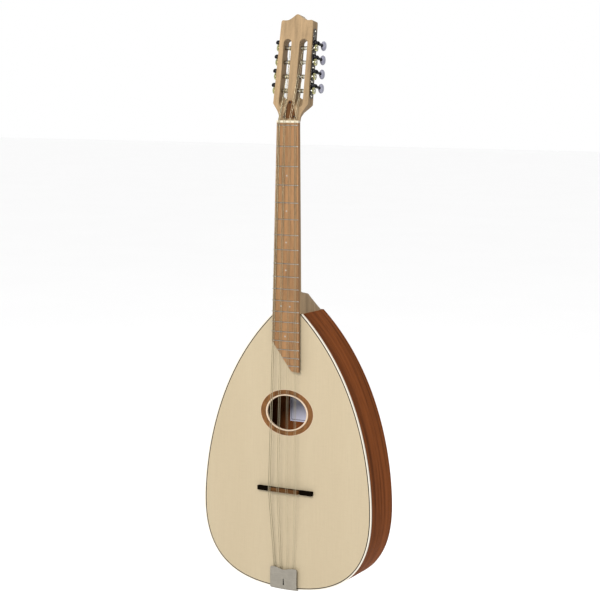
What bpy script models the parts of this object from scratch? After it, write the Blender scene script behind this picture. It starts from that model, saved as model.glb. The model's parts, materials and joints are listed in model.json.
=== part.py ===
"""Long-necked, flat-backed lute with eight strings in four pairs, as solid pieces.

Metres, +Z up. The front faces -Y and +X is to the viewer's right. The origin is on the
centre line, in the plane of the soundboard, at the base of the headstock.
"""
import math

import bmesh
import bpy
from mathutils import Matrix, Vector

MM = 0.001
GAP = 0.1 * MM

# Heights along the instrument.
SCALE = 600.0 * MM
FRET0_Z = -6.8 * MM
BRIDGE_SHORT = 4.3 * MM  # the loose bridge stands this much nearer the nut than the scale
BRIDGE_Z = FRET0_Z - SCALE + BRIDGE_SHORT
BRIDGE_H = 166.8 * MM
TAIL_Z = BRIDGE_Z - BRIDGE_H
JOINT_H = 459.6 * MM
JOINT_Z = TAIL_Z + JOINT_H

# Body shell: half of its edge as two cubic curves, in millimetres from the tail.
OUTLINE = (
    ((0.0, 0.0), (87.7, 0.0), (154.8, 29.6), (154.8, 137.8)),
    ((154.8, 137.8), (154.8, 177.2), (147.5, 347.5), (22.2, 463.0)),
)
OUTLINE_STEPS = 42
CURVE_STEPS = 90
DEPTH_TAIL = 84.0 * MM
DEPTH_NECK = 78.0 * MM
PLATE = 3.2 * MM
SIDE = 2.6 * MM
BINDING = 2.0 * MM

# Parts inside the shell, as distances from the tail, sizes across and sizes up.
LINING = 0.25 * MM
NECK_BLOCK_LONG = 48.0 * MM
TAIL_BLOCK_HALF = 34.0 * MM
TAIL_BLOCK_HIGH = 40.0 * MM
TAIL_BLOCK_FLAT = 20.0 * MM
BRACES = (("top_brace_upper", 344.0 * MM, False), ("top_brace_lower", 240.0 * MM, False),
          ("back_brace_upper", 352.0 * MM, True), ("back_brace_lower", 130.0 * MM, True))
BRACE_SHARES = ((-1.0, 4.0), (-0.75, 11.0), (0.75, 11.0), (1.0, 4.0))  # part of half, height
BRACE_FOOT = 3.5 * MM
BRACE_TOP = 2.0 * MM
BRACE_END = 0.6 * MM
LABEL_HALF = 34.0 * MM
LABEL_LOW = 266.0 * MM
LABEL_HIGH = 324.0 * MM

# Soundhole and its rings, as half-width and half-height of ovals.
HOLE_H = 295.3 * MM
RING_OUTER = (47.6 * MM, 37.3 * MM)
RING_MIDDLE = (39.5 * MM, 30.9 * MM)
RING_INNER = (36.0 * MM, 28.2 * MM)
RING_STEPS = 32
RING_PROUD = 0.2 * MM
INNER_PROUD = 0.3 * MM

# Neck and fretboard.
NUT_HALF = 19.35 * MM
TWELFTH_HALF = 25.0 * MM
NECK_FACE = -4.0 * MM
BOARD_FRONT = -9.2 * MM
FRET_FRONT = -10.2 * MM
NUT_LOW = -2.8 * MM
NUT_HIGH = 0.6 * MM
FRET_HALF = 0.6 * MM
FRETS = 18
NECK_BACK_TOP = 11.5 * MM
NECK_BACK_LOW = 14.5 * MM
NECK_INSET = 0.6 * MM  # how far the neck's sides stand in from the board's
HEEL_H = 492.0 * MM
HEEL_STEPS = ((3.0, 18.0, 0.7), (1.0, 26.0, 0.5), (-1.5, 33.0, 0.42))  # rise, back, power
HEEL_MIDDLE = 56.0 * MM
BOARD_END_H = 364.6 * MM
BOARD_BASS_END = (-25.7 * MM, 416.0 * MM)
BOARD_TREBLE_END = (11.7 * MM, 366.0 * MM)
TONGUE_HALF = 21.6 * MM
ROD_HALF = 3.0 * MM
ROD_DEPTH = 9.0 * MM
ROD_CLEAR = 0.2 * MM

# Headstock, in its own frame: X across, Z up the head, -Y out of its face.
HEAD_TILT = math.radians(8.65)
HEAD_FACE_Y = -3.5 * MM
HEAD_THICK = 17.0 * MM
SIDE_LEAN = math.radians(1.33)
SHOULDER_S = 27.8 * MM
SHOULDER_HALF = 31.6 * MM
HEAD_EDGE = ((18.9, 0.1), (19.0, 5.0), (19.6, 9.5), (21.4, 14.2), (25.5, 19.6), (31.6, 27.8),
             (28.6, 158.0), (27.7, 161.0), (25.2, 162.2), (20.2, 161.9), (14.3, 162.9),
             (6.4, 167.6), (2.4, 170.6))
HEAD_PEAK = 171.6 * MM
SLOT_MIDDLE = 14.35 * MM
SLOT_HALF = 7.15 * MM
SLOT_LOW_FRONT = 20.3 * MM
SLOT_LOW_BACK = 39.5 * MM
SLOT_HIGH = 132.0 * MM
# Where the neck's round back turns into the head's flat one: height up the head, half
# width, depth behind the face, and the power that squares the section's corners.
BLEND = ((-2.0, 19.1, 14.6, 1.0), (7.0, 19.7, 15.0, 0.9), (14.0, 23.2, 15.8, 0.72),
         (20.0, 28.5, 16.8, 0.5), (27.0, 36.0, 17.6, 0.25), (34.0, 40.0, 18.0, 0.1),
         (180.0, 40.0, 18.0, 0.1))
COVER_THICK = 2.0 * MM
COVER_EDGE = ((11.5, 4.0), (11.5, 5.5), (3.4, 31.0), (1.6, 33.0))

# Tuning machines: distances up the head, behind its face, and out from its side.
POST_S = 50.0 * MM
POST_PITCH = 22.9 * MM
POST_COUNT = 4
POST_BEHIND = 8.5 * MM
POST_R = 3.0 * MM
POST_INWARD = 25.6 * MM
POST_HOLE_R = 3.15 * MM
POST_HOLE_STOP = 1.8 * MM
TEETH = 14
GEAR_R = 5.2 * MM
GEAR_HALF = 1.3 * MM
WORM_R = 2.35 * MM
WORM_STEP = GEAR_R + WORM_R
LEAD = 2 * math.pi * GEAR_R / TEETH
ADDENDUM = 0.58 * MM
DEDENDUM = 0.74 * MM
FLANK = 0.36
TOOTH = 0.34 * LEAD
WORM_COLS = 12
WORM_TURNS = 2
SHAFT_R = 1.4 * MM
SHAFT_CLEAR = 0.12 * MM
THREAD_END = 3.5 * MM
BEARING_END = 6.2 * MM
STEM = ((-6.2, 2.4), (-11.0, 2.2), (-18.8, 1.7))  # height and radius towards the button
SCREW_R = (2.4 * MM, 2.0 * MM)
SCREW_HIGH = 1.0 * MM
MACHINE_OUT = 4.4 * MM
BASE_THICK = 1.0 * MM
BASE_HALF = 5.5 * MM
BASE_BELOW = 13.0 * MM
BASE_ABOVE = 31.0 * MM
LUG_THICK = 1.6 * MM
LUG_HALF = 2.5 * MM
LUG_STARTS = (-5.4 * MM, 3.8 * MM)
LUG_OUT = 2.5 * MM
BUTTON_BEHIND = 25.0 * MM
BUTTON_HALF = (8.0 * MM, 4.3 * MM, 6.0 * MM)
SIDES = (("bass", -1), ("treble", 1))

# Bridge and tailpiece. Profiles are in millimetres, half of each where it is mirrored.
BRIDGE_EDGE = ((26.0, 1.4), (30.0, 0.1), (50.6, 0.1), (50.6, 6.0), (49.6, 7.0), (28.0, 7.0),
               (27.0, 3.5))
BRIDGE_Z_ENDS = (-4.0 * MM, 3.0 * MM)
SADDLE_EDGE = ((26.6, 3.6), (26.6, 8.5))
SADDLE_CORNER = 25.9 * MM
SADDLE_CREST = ((-3.4, 2.2), (-0.8, 0.0), (0.6, 0.0), (2.4, 2.2))  # across it, drop of top
FOLD = ((-6.2, 2.5), (-5.2, -0.4), (-3.4, -1.5), (20.0, -1.5), (20.0, -0.4), (-3.0, -0.4),
        (-4.6, 0.6), (-5.2, 3.0))
SHEET = (-5.2, -6.2)
HOOK_EDGE = ((-0.1, 1.0), (-0.1, 30.8), (-4.6, 30.8), (-4.6, 29.6), (-1.3, 29.6), (-1.3, 1.0))
HOOK_HALF = 22.0 * MM

# Strings. Pairs are counted from the outside inwards.
SADDLE_TOP = 13.5 * MM
TAIL_HALF = 24.6 * MM
TAIL_TOP = 36.8 * MM
NUT_PAIRS = (14.5 * MM, 4.85 * MM)
NUT_PAIR_HALF = 1.3 * MM
BRIDGE_PAIRS = (23.8 * MM, 8.0 * MM)
BRIDGE_PAIR_HALF = 1.5 * MM
TAIL_PAIRS = (17.0 * MM, 6.0 * MM)
TAIL_PAIR_HALF = 1.6 * MM
POST_XS = (14.5 * MM, 12.0 * MM)
HOOK_H = 31.4 * MM
HOOK_FRONT = -2.9 * MM
STRING_RADII = {"bass": (0.55 * MM, 0.36 * MM), "treble": (0.28 * MM, 0.2 * MM)}
STRING_BEND_Z = 0.7 * MM
STRING_CLEAR = 0.3 * MM

# Colour, roughness and metallic value of each material.
FINISHES = {
    "spruce": ((0.86, 0.74, 0.52), 0.45, 0.0),
    "side_wood": ((0.30, 0.11, 0.05), 0.30, 0.0),
    "inner_wood": ((0.62, 0.45, 0.28), 0.80, 0.0),
    "neck_wood": ((0.60, 0.40, 0.23), 0.50, 0.0),
    "fretboard_wood": ((0.42, 0.24, 0.14), 0.50, 0.0),
    "cover_wood": ((0.36, 0.17, 0.07), 0.45, 0.0),
    "ebony": ((0.02, 0.02, 0.02), 0.35, 0.0),
    "binding": ((0.85, 0.80, 0.68), 0.30, 0.0),
    "bone": ((0.80, 0.75, 0.60), 0.35, 0.0),
    "paper": ((0.80, 0.80, 0.86), 0.90, 0.0),
    "steel": ((0.50, 0.50, 0.50), 0.35, 1.0),
    "satin_metal": ((0.50, 0.49, 0.47), 0.45, 1.0),
    "black_metal": ((0.02, 0.02, 0.02), 0.30, 1.0),
    "nickel": ((0.66, 0.60, 0.42), 0.22, 1.0),
    "pearl": ((0.60, 0.59, 0.72), 0.20, 0.0),
    "bronze": ((0.70, 0.48, 0.20), 0.25, 1.0),
}


# ------------------------------------------------------------- shared helpers

def clear_scene():
    for obj in list(bpy.data.objects):
        bpy.data.objects.remove(obj, do_unlink=True)


def finish(name):
    """Material of that name, made once from its colour, roughness and metallic value."""
    made = bpy.data.materials.get(name)
    if made:
        return made
    colour, roughness, metallic = FINISHES[name]
    made = bpy.data.materials.new(name)
    made.use_nodes = True
    shader = made.node_tree.nodes["Principled BSDF"]
    shader.inputs["Base Color"].default_value = (*colour, 1.0)
    shader.inputs["Roughness"].default_value = roughness
    shader.inputs["Metallic"].default_value = metallic
    return made


def add_empty(name, place, parent=None):
    """Frame that pieces are placed in, given by its matrix under its parent."""
    empty = bpy.data.objects.new(name, None)
    bpy.context.collection.objects.link(empty)
    empty.parent = parent
    empty.matrix_basis = place
    return empty


def as_mesh(name, shape, look=None):
    """Turns a bmesh into a mesh with its faces pointing out and its round parts smooth."""
    bmesh.ops.recalc_face_normals(shape, faces=shape.faces)
    if shape.calc_volume(signed=True) < 0:
        bmesh.ops.reverse_faces(shape, faces=shape.faces)
    mesh = bpy.data.meshes.new(name)
    shape.to_mesh(mesh)
    shape.free()
    if look:
        mesh.materials.append(finish(look))
    mesh.shade_smooth()
    mesh.set_sharp_from_angle(angle=math.radians(35))
    return mesh


def add_object(name, mesh, parent):
    obj = bpy.data.objects.new(name, mesh)
    bpy.context.collection.objects.link(obj)
    obj.parent = parent
    return obj


def add_node(name, shape, look, parent):
    return add_object(name, as_mesh(name, shape, look), parent)


def add_tool(name, shape, parent):
    """Body that only cuts or joins others."""
    obj = add_object(name, as_mesh(name, shape), parent)
    obj.hide_render = True
    obj.display_type = 'WIRE'
    return obj


def boolean(obj, tool, operation='DIFFERENCE'):
    mod = obj.modifiers.new(tool.name, 'BOOLEAN')
    mod.operation = operation
    mod.solver = 'EXACT'
    mod.object = tool


def skin(shape, first, second):
    """Four-sided faces between two closed rings of vertices."""
    count = len(first)
    for i in range(count):
        k = (i + 1) % count
        shape.faces.new((first[i], first[k], second[k], second[i]))


def loft(rings, shape=None):
    """Closed body through rings of points, capped at both ends."""
    shape = shape or bmesh.new()
    loops = [[shape.verts.new(point) for point in ring] for ring in rings]
    for first, second in zip(loops, loops[1:]):
        skin(shape, first, second)
    shape.faces.new(loops[0])
    shape.faces.new(loops[-1])
    return shape


def prism(outline, front, back):
    """Flat face drawn in X and Z, extruded from one depth to the other."""
    shape = bmesh.new()
    face = shape.faces.new([shape.verts.new((x, front(z), z)) for x, z in outline])
    moved = bmesh.ops.extrude_face_region(shape, geom=[face], use_keep_orig=True)["geom"]
    for item in moved:
        if isinstance(item, bmesh.types.BMVert):
            item.co.y = back(item.co.z)
    return shape


def block(low, high, shape=None):
    """Box between two corners."""
    corners = ((low[0], low[1]), (high[0], low[1]), (high[0], high[1]), (low[0], high[1]))
    return loft([[(x, y, z) for x, y in corners] for z in (low[2], high[2])], shape)


def strip(outer, inner, front, back):
    """Bent strip between two open lines of equal length."""
    return loft([[(xo, front(zo), zo), (xi, front(zi), zi), (xi, back(zi), zi),
                  (xo, back(zo), zo)] for (xo, zo), (xi, zi) in zip(outer, inner)])


def band(outer, inner, front, back):
    """Closed flat ring between two closed lines of equal length."""
    shape = bmesh.new()
    loops = [[shape.verts.new((x, y, z)) for x, z in line]
             for line, y in ((outer, front), (outer, back), (inner, back), (inner, front))]
    for first, second in zip(loops, loops[1:] + loops[:1]):
        skin(shape, first, second)
    return shape


def circle(centre, a, b, radius, steps):
    turn = 2 * math.pi / steps
    return [centre + (a * math.cos(i * turn) + b * math.sin(i * turn)) * radius
            for i in range(steps)]


def level(y):
    return lambda z: y


def mirrored(half):
    """Whole outline from the points of its treble half."""
    return [(x, z) for x, z in half] + [(-x, z) for x, z in reversed(half)]


# ----------------------------------------------- body shell, in the tail's frame

def bezier(points, t):
    weights = ((1 - t) ** 3, 3 * t * (1 - t) ** 2, 3 * t * t * (1 - t), t ** 3)
    return Vector([sum(w * p[i] for w, p in zip(weights, points)) for i in (0, 1)])


def inset_edge(inset):
    """Dense treble half of the body's edge, moved inwards, up to the neck joint."""
    line = [bezier(piece, i / CURVE_STEPS) for piece in OUTLINE
            for i in range(CURVE_STEPS + 1)]
    del line[CURVE_STEPS]
    moved = [Vector((0.0, inset))]
    for i in range(1, len(line)):
        along = line[min(i + 1, len(line) - 1)] - line[i - 1]
        inward = Vector((-along.y, along.x)).normalized()
        moved.append(line[i] * MM + inward * inset)
    kept = [point for point in moved if point.y < JOINT_H]
    after = moved[len(kept)]
    share = (JOINT_H - kept[-1].y) / (after.y - kept[-1].y)
    kept.append(kept[-1].lerp(after, share))
    return kept


def half_outline(inset, steps=OUTLINE_STEPS):
    """The inset edge again, with its points evenly spaced."""
    line = inset_edge(inset)
    travel = [0.0]
    for a, b in zip(line, line[1:]):
        travel.append(travel[-1] + (b - a).length)
    even = []
    j = 0
    for i in range(steps + 1):
        goal = travel[-1] * i / steps
        while j < len(line) - 2 and travel[j + 1] < goal:
            j += 1
        point = line[j].lerp(line[j + 1], (goal - travel[j]) / (travel[j + 1] - travel[j]))
        even.append((point.x, point.y))
    return even


def full_line(inset):
    """Open line from the bass side of the neck joint, round the tail, to the treble side."""
    half = half_outline(inset)
    return [(-x, h) for x, h in reversed(half[1:])] + half


def half_width(h, inset):
    line = inset_edge(inset)
    for a, b in zip(line, line[1:]):
        if a.y <= h <= b.y:
            return a.x + (b.x - a.x) * (h - a.y) / (b.y - a.y)
    return 0.0


def back_y(h):
    return DEPTH_TAIL + (DEPTH_NECK - DEPTH_TAIL) * h / JOINT_H


def from_back(y):
    return lambda h: back_y(h) - y


def oval(half, extra=0.0):
    turn = 2 * math.pi / RING_STEPS
    return [((half[0] + extra) * math.cos(i * turn),
             HOLE_H + (half[1] + extra) * math.sin(i * turn)) for i in range(RING_STEPS)]


def make_plates(body):
    edge = full_line(BINDING + GAP)
    board = add_node("soundboard", prism(edge, level(0.0), level(PLATE)), "spruce", body)
    hole = prism(oval(RING_OUTER, GAP), level(-PLATE), level(2 * PLATE))
    boolean(board, add_tool("soundhole_cutter", hole, body))
    add_node("back_plate", prism(edge, from_back(PLATE), from_back(0.0)), "side_wood", body)


def make_rosette(body):
    outer = band(oval(RING_OUTER), oval(RING_MIDDLE, GAP), -RING_PROUD, PLATE)
    add_node("rosette", outer, "cover_wood", body)
    inner = band(oval(RING_MIDDLE), oval(RING_INNER), -INNER_PROUD, PLATE)
    add_node("rosette_inner", inner, "binding", body)


def make_sides(body):
    for name, sign in SIDES:
        outer, inner = [[(sign * max(x, GAP), h) for x, h in half_outline(inset)]
                        for inset in (0.0, SIDE)]
        shape = strip(outer, inner, level(PLATE + GAP), from_back(PLATE + GAP))
        add_node("side_" + name, shape, "side_wood", body)


def make_bindings(body):
    outer, inner = full_line(0.0), full_line(BINDING)
    shape = strip(outer, inner, level(0.0), level(PLATE))
    add_node("top_binding", shape, "binding", body)
    shape = strip(outer, inner, from_back(PLATE), from_back(0.0))
    add_node("back_binding", shape, "side_wood", body)


def make_blocks(body):
    """Neck block and tail block, between the soundboard and the back."""
    inner = half_outline(SIDE + LINING)
    front, back = level(PLATE + GAP), from_back(PLATE + GAP)
    low = JOINT_H - NECK_BLOCK_LONG
    half = [(x, h) for x, h in inner if h > low]
    half.insert(0, (half[0][0], low))
    add_node("neck_block", prism(mirrored(half), front, back), "inner_wood", body)
    half = [(x, h) for x, h in inner if x < TAIL_BLOCK_HALF and h < TAIL_BLOCK_HIGH][1:]
    half.append((half[-1][0], TAIL_BLOCK_FLAT))
    add_node("tail_block", prism(mirrored(half), front, back), "inner_wood", body)


def make_brace(name, h, on_back, body):
    """Tapered bar across the inside of a plate, just clear of both sides."""
    past = BRACE_FOOT + 0.5 * MM
    half = min(half_width(h - past, SIDE), half_width(h + past, SIDE)) - BRACE_END
    face = back_y(h) - PLATE - LINING if on_back else PLATE + GAP
    rings = []
    for share, tall in BRACE_SHARES:
        tip = face + tall * MM * (-1 if on_back else 1)
        rings.append([(share * half, face, h - BRACE_FOOT), (share * half, face, h + BRACE_FOOT),
                      (share * half, tip, h + BRACE_TOP), (share * half, tip, h - BRACE_TOP)])
    add_node(name, loft(rings), "inner_wood", body)


def make_inside(body):
    make_blocks(body)
    for name, h, on_back in BRACES:
        make_brace(name, h, on_back, body)
    outline = mirrored([(LABEL_HALF, LABEL_LOW), (LABEL_HALF, LABEL_HIGH)])
    shape = prism(outline, from_back(PLATE + 0.5 * MM), from_back(PLATE + GAP))
    add_node("label", shape, "paper", body)


# ------------------------------------------------------- neck and fretboard

def board_half(z):
    return NUT_HALF + (TWELFTH_HALF - NUT_HALF) * (FRET0_Z - z) / (SCALE / 2)


def neck_ring(z, half, back, power, slope=0.0):
    """D-shaped section with its flat side to the front; a higher power is rounder."""
    ring = []
    steps = 14
    for i in range(steps + 1):
        across = round(math.cos(math.pi * i / steps), 9)
        deep = round(math.sin(math.pi * i / steps), 9)
        y = NECK_FACE + (back - NECK_FACE) * deep ** power
        x = half * math.copysign(abs(across) ** power, across)
        ring.append((x, y, z - (y - HEAD_FACE_Y) * slope))
    return ring


def make_neck(body):
    """Shaft with a stepped heel and a tongue below the board, cut to the head's tilt."""
    heel_z = TAIL_Z + HEEL_H
    foot = JOINT_Z + GAP
    rings = [neck_ring(-GAP, NUT_HALF - NECK_INSET, NECK_BACK_TOP, 1.0, math.tan(HEAD_TILT)),
             neck_ring(-20 * MM, board_half(-20 * MM) - NECK_INSET, NECK_BACK_TOP, 1.0),
             neck_ring(heel_z + 20 * MM, board_half(heel_z) - NECK_INSET,
                       NECK_BACK_LOW, 0.95)]
    for rise, back, power in HEEL_STEPS:
        rings.append(neck_ring(heel_z + rise * MM, board_half(heel_z) - NECK_INSET,
                               back * MM, power))
    rings.append(neck_ring((heel_z + foot) / 2, board_half(foot) - NECK_INSET, HEEL_MIDDLE,
                           0.3))
    rings.append(neck_ring(foot, half_width(JOINT_H, 0.0), DEPTH_NECK - 0.3 * MM, 0.2))
    neck = add_node("neck_shaft", loft(rings), "neck_wood", None)
    high = JOINT_H + 3 * MM
    start, corner = Vector(BOARD_BASS_END), Vector(BOARD_TREBLE_END)
    share = (start.x + TONGUE_HALF) / (start.x - corner.x)
    bass_end = start.lerp(corner, share).y + 1 * MM
    outline = [(TONGUE_HALF, high), (TONGUE_HALF, BOARD_END_H + 1 * MM),
               (corner.x + 1 * MM, BOARD_END_H + 1 * MM), (-TONGUE_HALF, bass_end),
               (-TONGUE_HALF, high)]
    tongue = prism(outline, level(NECK_FACE + GAP), level(-GAP))
    boolean(neck, add_tool("neck_tongue", tongue, body), 'UNION')
    groove = block((-ROD_HALF - ROD_CLEAR, NECK_FACE - 2 * MM, JOINT_Z + 1 * MM),
                   (ROD_HALF + ROD_CLEAR, NECK_FACE + ROD_DEPTH + ROD_CLEAR, 5 * MM))
    boolean(neck, add_tool("groove_cutter", groove, None))
    rod = block((-ROD_HALF, NECK_FACE + GAP, JOINT_Z + 2 * MM),
                (ROD_HALF, NECK_FACE + ROD_DEPTH, FRET0_Z))
    add_node("truss_rod", rod, "steel", None)


def fret_z(number):
    return FRET0_Z - SCALE * (1 - 2 ** (-number / 12))


def make_fretboard(body):
    """Tapered board with a ridge for the zero fret and each fret, cut slanting at its end."""
    end = TAIL_Z + BOARD_END_H
    stops = [(NUT_LOW - GAP, BOARD_FRONT)]
    for number in range(FRETS + 1):
        z = fret_z(number)
        stops += [(z + FRET_HALF, BOARD_FRONT), (z, FRET_FRONT), (z - FRET_HALF, BOARD_FRONT)]
    stops.append((end, BOARD_FRONT))
    rings = []
    back = NECK_FACE - GAP
    for z, front in stops:
        half = board_half(z)
        rings.append([(-half, front, z), (half, front, z), (half, back, z), (-half, back, z)])
    board = add_node("fretboard", loft(rings), "fretboard_wood", None)
    start, corner = Vector(BOARD_BASS_END), Vector(BOARD_TREBLE_END)
    beyond = start + (start - corner) * 0.4
    low = BOARD_END_H - 20 * MM
    outline = [(beyond.x, low), (30 * MM, low), (30 * MM, BOARD_END_H - 1 * MM),
               (corner.x, corner.y), (beyond.x, beyond.y)]
    cutter = prism(outline, level(-15 * MM), level(2 * MM))
    boolean(board, add_tool("fretboard_cutter", cutter, body))
    half = NUT_HALF + 0.2 * MM
    nut = block((-half, FRET_FRONT, NUT_LOW), (half, back, NUT_HIGH))
    add_node("nut", nut, "bone", None)


# --------------------------------------------------- headstock, in its own frame

def side_half(s):
    return SHOULDER_HALF - (s - SHOULDER_S) * math.tan(SIDE_LEAN)


def side_axes(sign):
    """Directions out from the head's side and up along it."""
    out = Vector((sign * math.cos(SIDE_LEAN), 0, math.sin(SIDE_LEAN)))
    up = Vector((-sign * math.sin(SIDE_LEAN), 0, math.cos(SIDE_LEAN)))
    return out, up


def post_base(sign, s):
    return Vector((sign * side_half(s), POST_BEHIND, s))


def post_places():
    return [POST_S + POST_PITCH * i for i in range(POST_COUNT)]


def add_slot(sign, shape):
    """Long slot with a round upper end and a ramp at its lower end for the strings."""
    rings = []
    for y, low in ((-2 * MM, SLOT_LOW_FRONT), (HEAD_THICK + 2 * MM, SLOT_LOW_BACK)):
        ring = []
        for i in range(9):
            turn = math.pi * i / 8
            ring.append((SLOT_MIDDLE + SLOT_HALF * math.cos(turn),
                         SLOT_HIGH - SLOT_HALF + SLOT_HALF * math.sin(turn)))
        ring += [(SLOT_MIDDLE - SLOT_HALF, low + 3 * MM),
                 (SLOT_MIDDLE - SLOT_HALF + 3 * MM, low),
                 (SLOT_MIDDLE + SLOT_HALF - 3 * MM, low),
                 (SLOT_MIDDLE + SLOT_HALF, low + 3 * MM)]
        rings.append([(sign * x, y, s) for x, s in ring])
    loft(rings, shape)


def make_post_cutter(head):
    """Holes from outside each rail, through it and into the middle of the head."""
    shape = bmesh.new()
    for name, sign in SIDES:
        out, up = side_axes(sign)
        for s in post_places():
            base = post_base(sign, s)
            ends = (-(side_half(s) - POST_HOLE_STOP), 3 * MM)
            loft([circle(base + out * d, up, out.cross(up), POST_HOLE_R, 24) for d in ends],
                 shape)
    return add_tool("post_hole_cutter", shape, head)


def blend_ring(s, half, depth, power):
    """D-shaped section across the head, flat and just clear of it at the front."""
    ring = []
    steps = 16
    front = -1.0
    for i in range(steps + 1):
        across = round(math.cos(math.pi * i / steps), 9)
        deep = round(math.sin(math.pi * i / steps), 9)
        x = half * math.copysign(abs(across) ** power, across)
        ring.append((x * MM, (front + (depth - front) * deep ** power) * MM, s * MM))
    return ring


def make_headstock(head, post_cutter):
    half = [(x * MM, s * MM) for x, s in HEAD_EDGE]
    outline = half + [(0.0, HEAD_PEAK)] + [(-x, s) for x, s in reversed(half)]
    body = add_node("headstock", prism(outline, level(0.0), level(HEAD_THICK)),
                    "neck_wood", head)
    slots = bmesh.new()
    for name, sign in SIDES:
        add_slot(sign, slots)
    boolean(body, add_tool("head_blend", loft([blend_ring(*row) for row in BLEND]), head),
            'INTERSECT')
    boolean(body, add_tool("slot_cutter", slots, head))
    boolean(body, post_cutter)
    edge = mirrored([(x * MM, s * MM) for x, s in COVER_EDGE])
    cover = prism(edge, level(-COVER_THICK), level(-GAP / 2))
    add_node("truss_rod_cover", cover, "cover_wood", head)


# ------------------------------------------------------------ tuning machines

def make_tuner_plate(name, sign, head, post_cutter):
    """Strip along the head's side, with two bored lugs for each worm."""
    out, up = side_axes(sign)
    face = Vector((0, -1, 0))
    rings = []
    for s in (POST_S - BASE_BELOW, POST_S + 3 * POST_PITCH + BASE_ABOVE):
        base = post_base(sign, s)
        rings.append([base + out * d + face * f
                      for d, f in ((GAP, -BASE_HALF), (GAP, BASE_HALF),
                                   (BASE_THICK, BASE_HALF), (BASE_THICK, -BASE_HALF))])
    plate = add_node("tuner_plate_" + name, loft(rings), "black_metal", head)
    lugs = bmesh.new()
    bores = bmesh.new()
    for s in post_places():
        axis = post_base(sign, s) + up * WORM_STEP + out * MACHINE_OUT
        for start in LUG_STARTS:
            loft([[axis + out * d + up * u + face * f
                   for u, f in ((-LUG_HALF, start), (LUG_HALF, start),
                                (LUG_HALF, start + LUG_THICK), (-LUG_HALF, start + LUG_THICK))]
                  for d in (BASE_THICK - MACHINE_OUT - 0.4 * MM, LUG_OUT)], lugs)
        loft([circle(axis + face * f, out, up, SHAFT_R + SHAFT_CLEAR, 20)
              for f in (-8 * MM, 8 * MM)], bores)
    boolean(plate, add_tool("lugs_" + name, lugs, head), 'UNION')
    boolean(plate, post_cutter)
    boolean(plate, add_tool("bores_" + name, bores, head))


def toothed_ring(z):
    """Gear outline, with a tooth centred on +X: two root and two tip points a tooth."""
    pitch = 2 * math.pi / TEETH
    tip = (TOOTH - 2 * ADDENDUM * FLANK) / (2 * (GEAR_R + ADDENDUM))
    root = (TOOTH + 2 * DEDENDUM * FLANK) / (2 * (GEAR_R - DEDENDUM))
    points = []
    for i in range(TEETH):
        for turn, radius in ((-root, GEAR_R - DEDENDUM), (-tip, GEAR_R + ADDENDUM),
                             (tip, GEAR_R + ADDENDUM), (root, GEAR_R - DEDENDUM)):
            angle = i * pitch + turn
            points.append((radius * math.cos(angle), radius * math.sin(angle), z))
    return points


def post_shape():
    """Post along Z with its gear and the head of the screw that holds it."""
    shape = bmesh.new()
    pitch = 2 * math.pi / TEETH

    def round_ring(z, radius):
        return [shape.verts.new((radius * math.cos((i - 0.5) * pitch),
                                 radius * math.sin((i - 0.5) * pitch), z))
                for i in range(TEETH)]

    low, high = MACHINE_OUT - GEAR_HALF, MACHINE_OUT + GEAR_HALF
    post = [round_ring(z, POST_R) for z in (-POST_INWARD, low)]
    screw = [round_ring(high, SCREW_R[0]), round_ring(high + SCREW_HIGH, SCREW_R[1])]
    gear = [[shape.verts.new(point) for point in toothed_ring(z)] for z in (low, high)]
    for rings in (post, screw, gear):
        skin(shape, rings[0], rings[1])
    for hub, rim in ((post[1], gear[0]), (screw[0], gear[1])):
        for i in range(TEETH):
            k = (i + 1) % TEETH
            tooth = rim[4 * i:4 * i + 4]
            shape.faces.new([hub[k], hub[i]] + tooth)
            shape.faces.new((hub[k], tooth[3], rim[(4 * i + 4) % len(rim)]))
    shape.faces.new(post[0])
    shape.faces.new(screw[1])
    return shape


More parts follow.
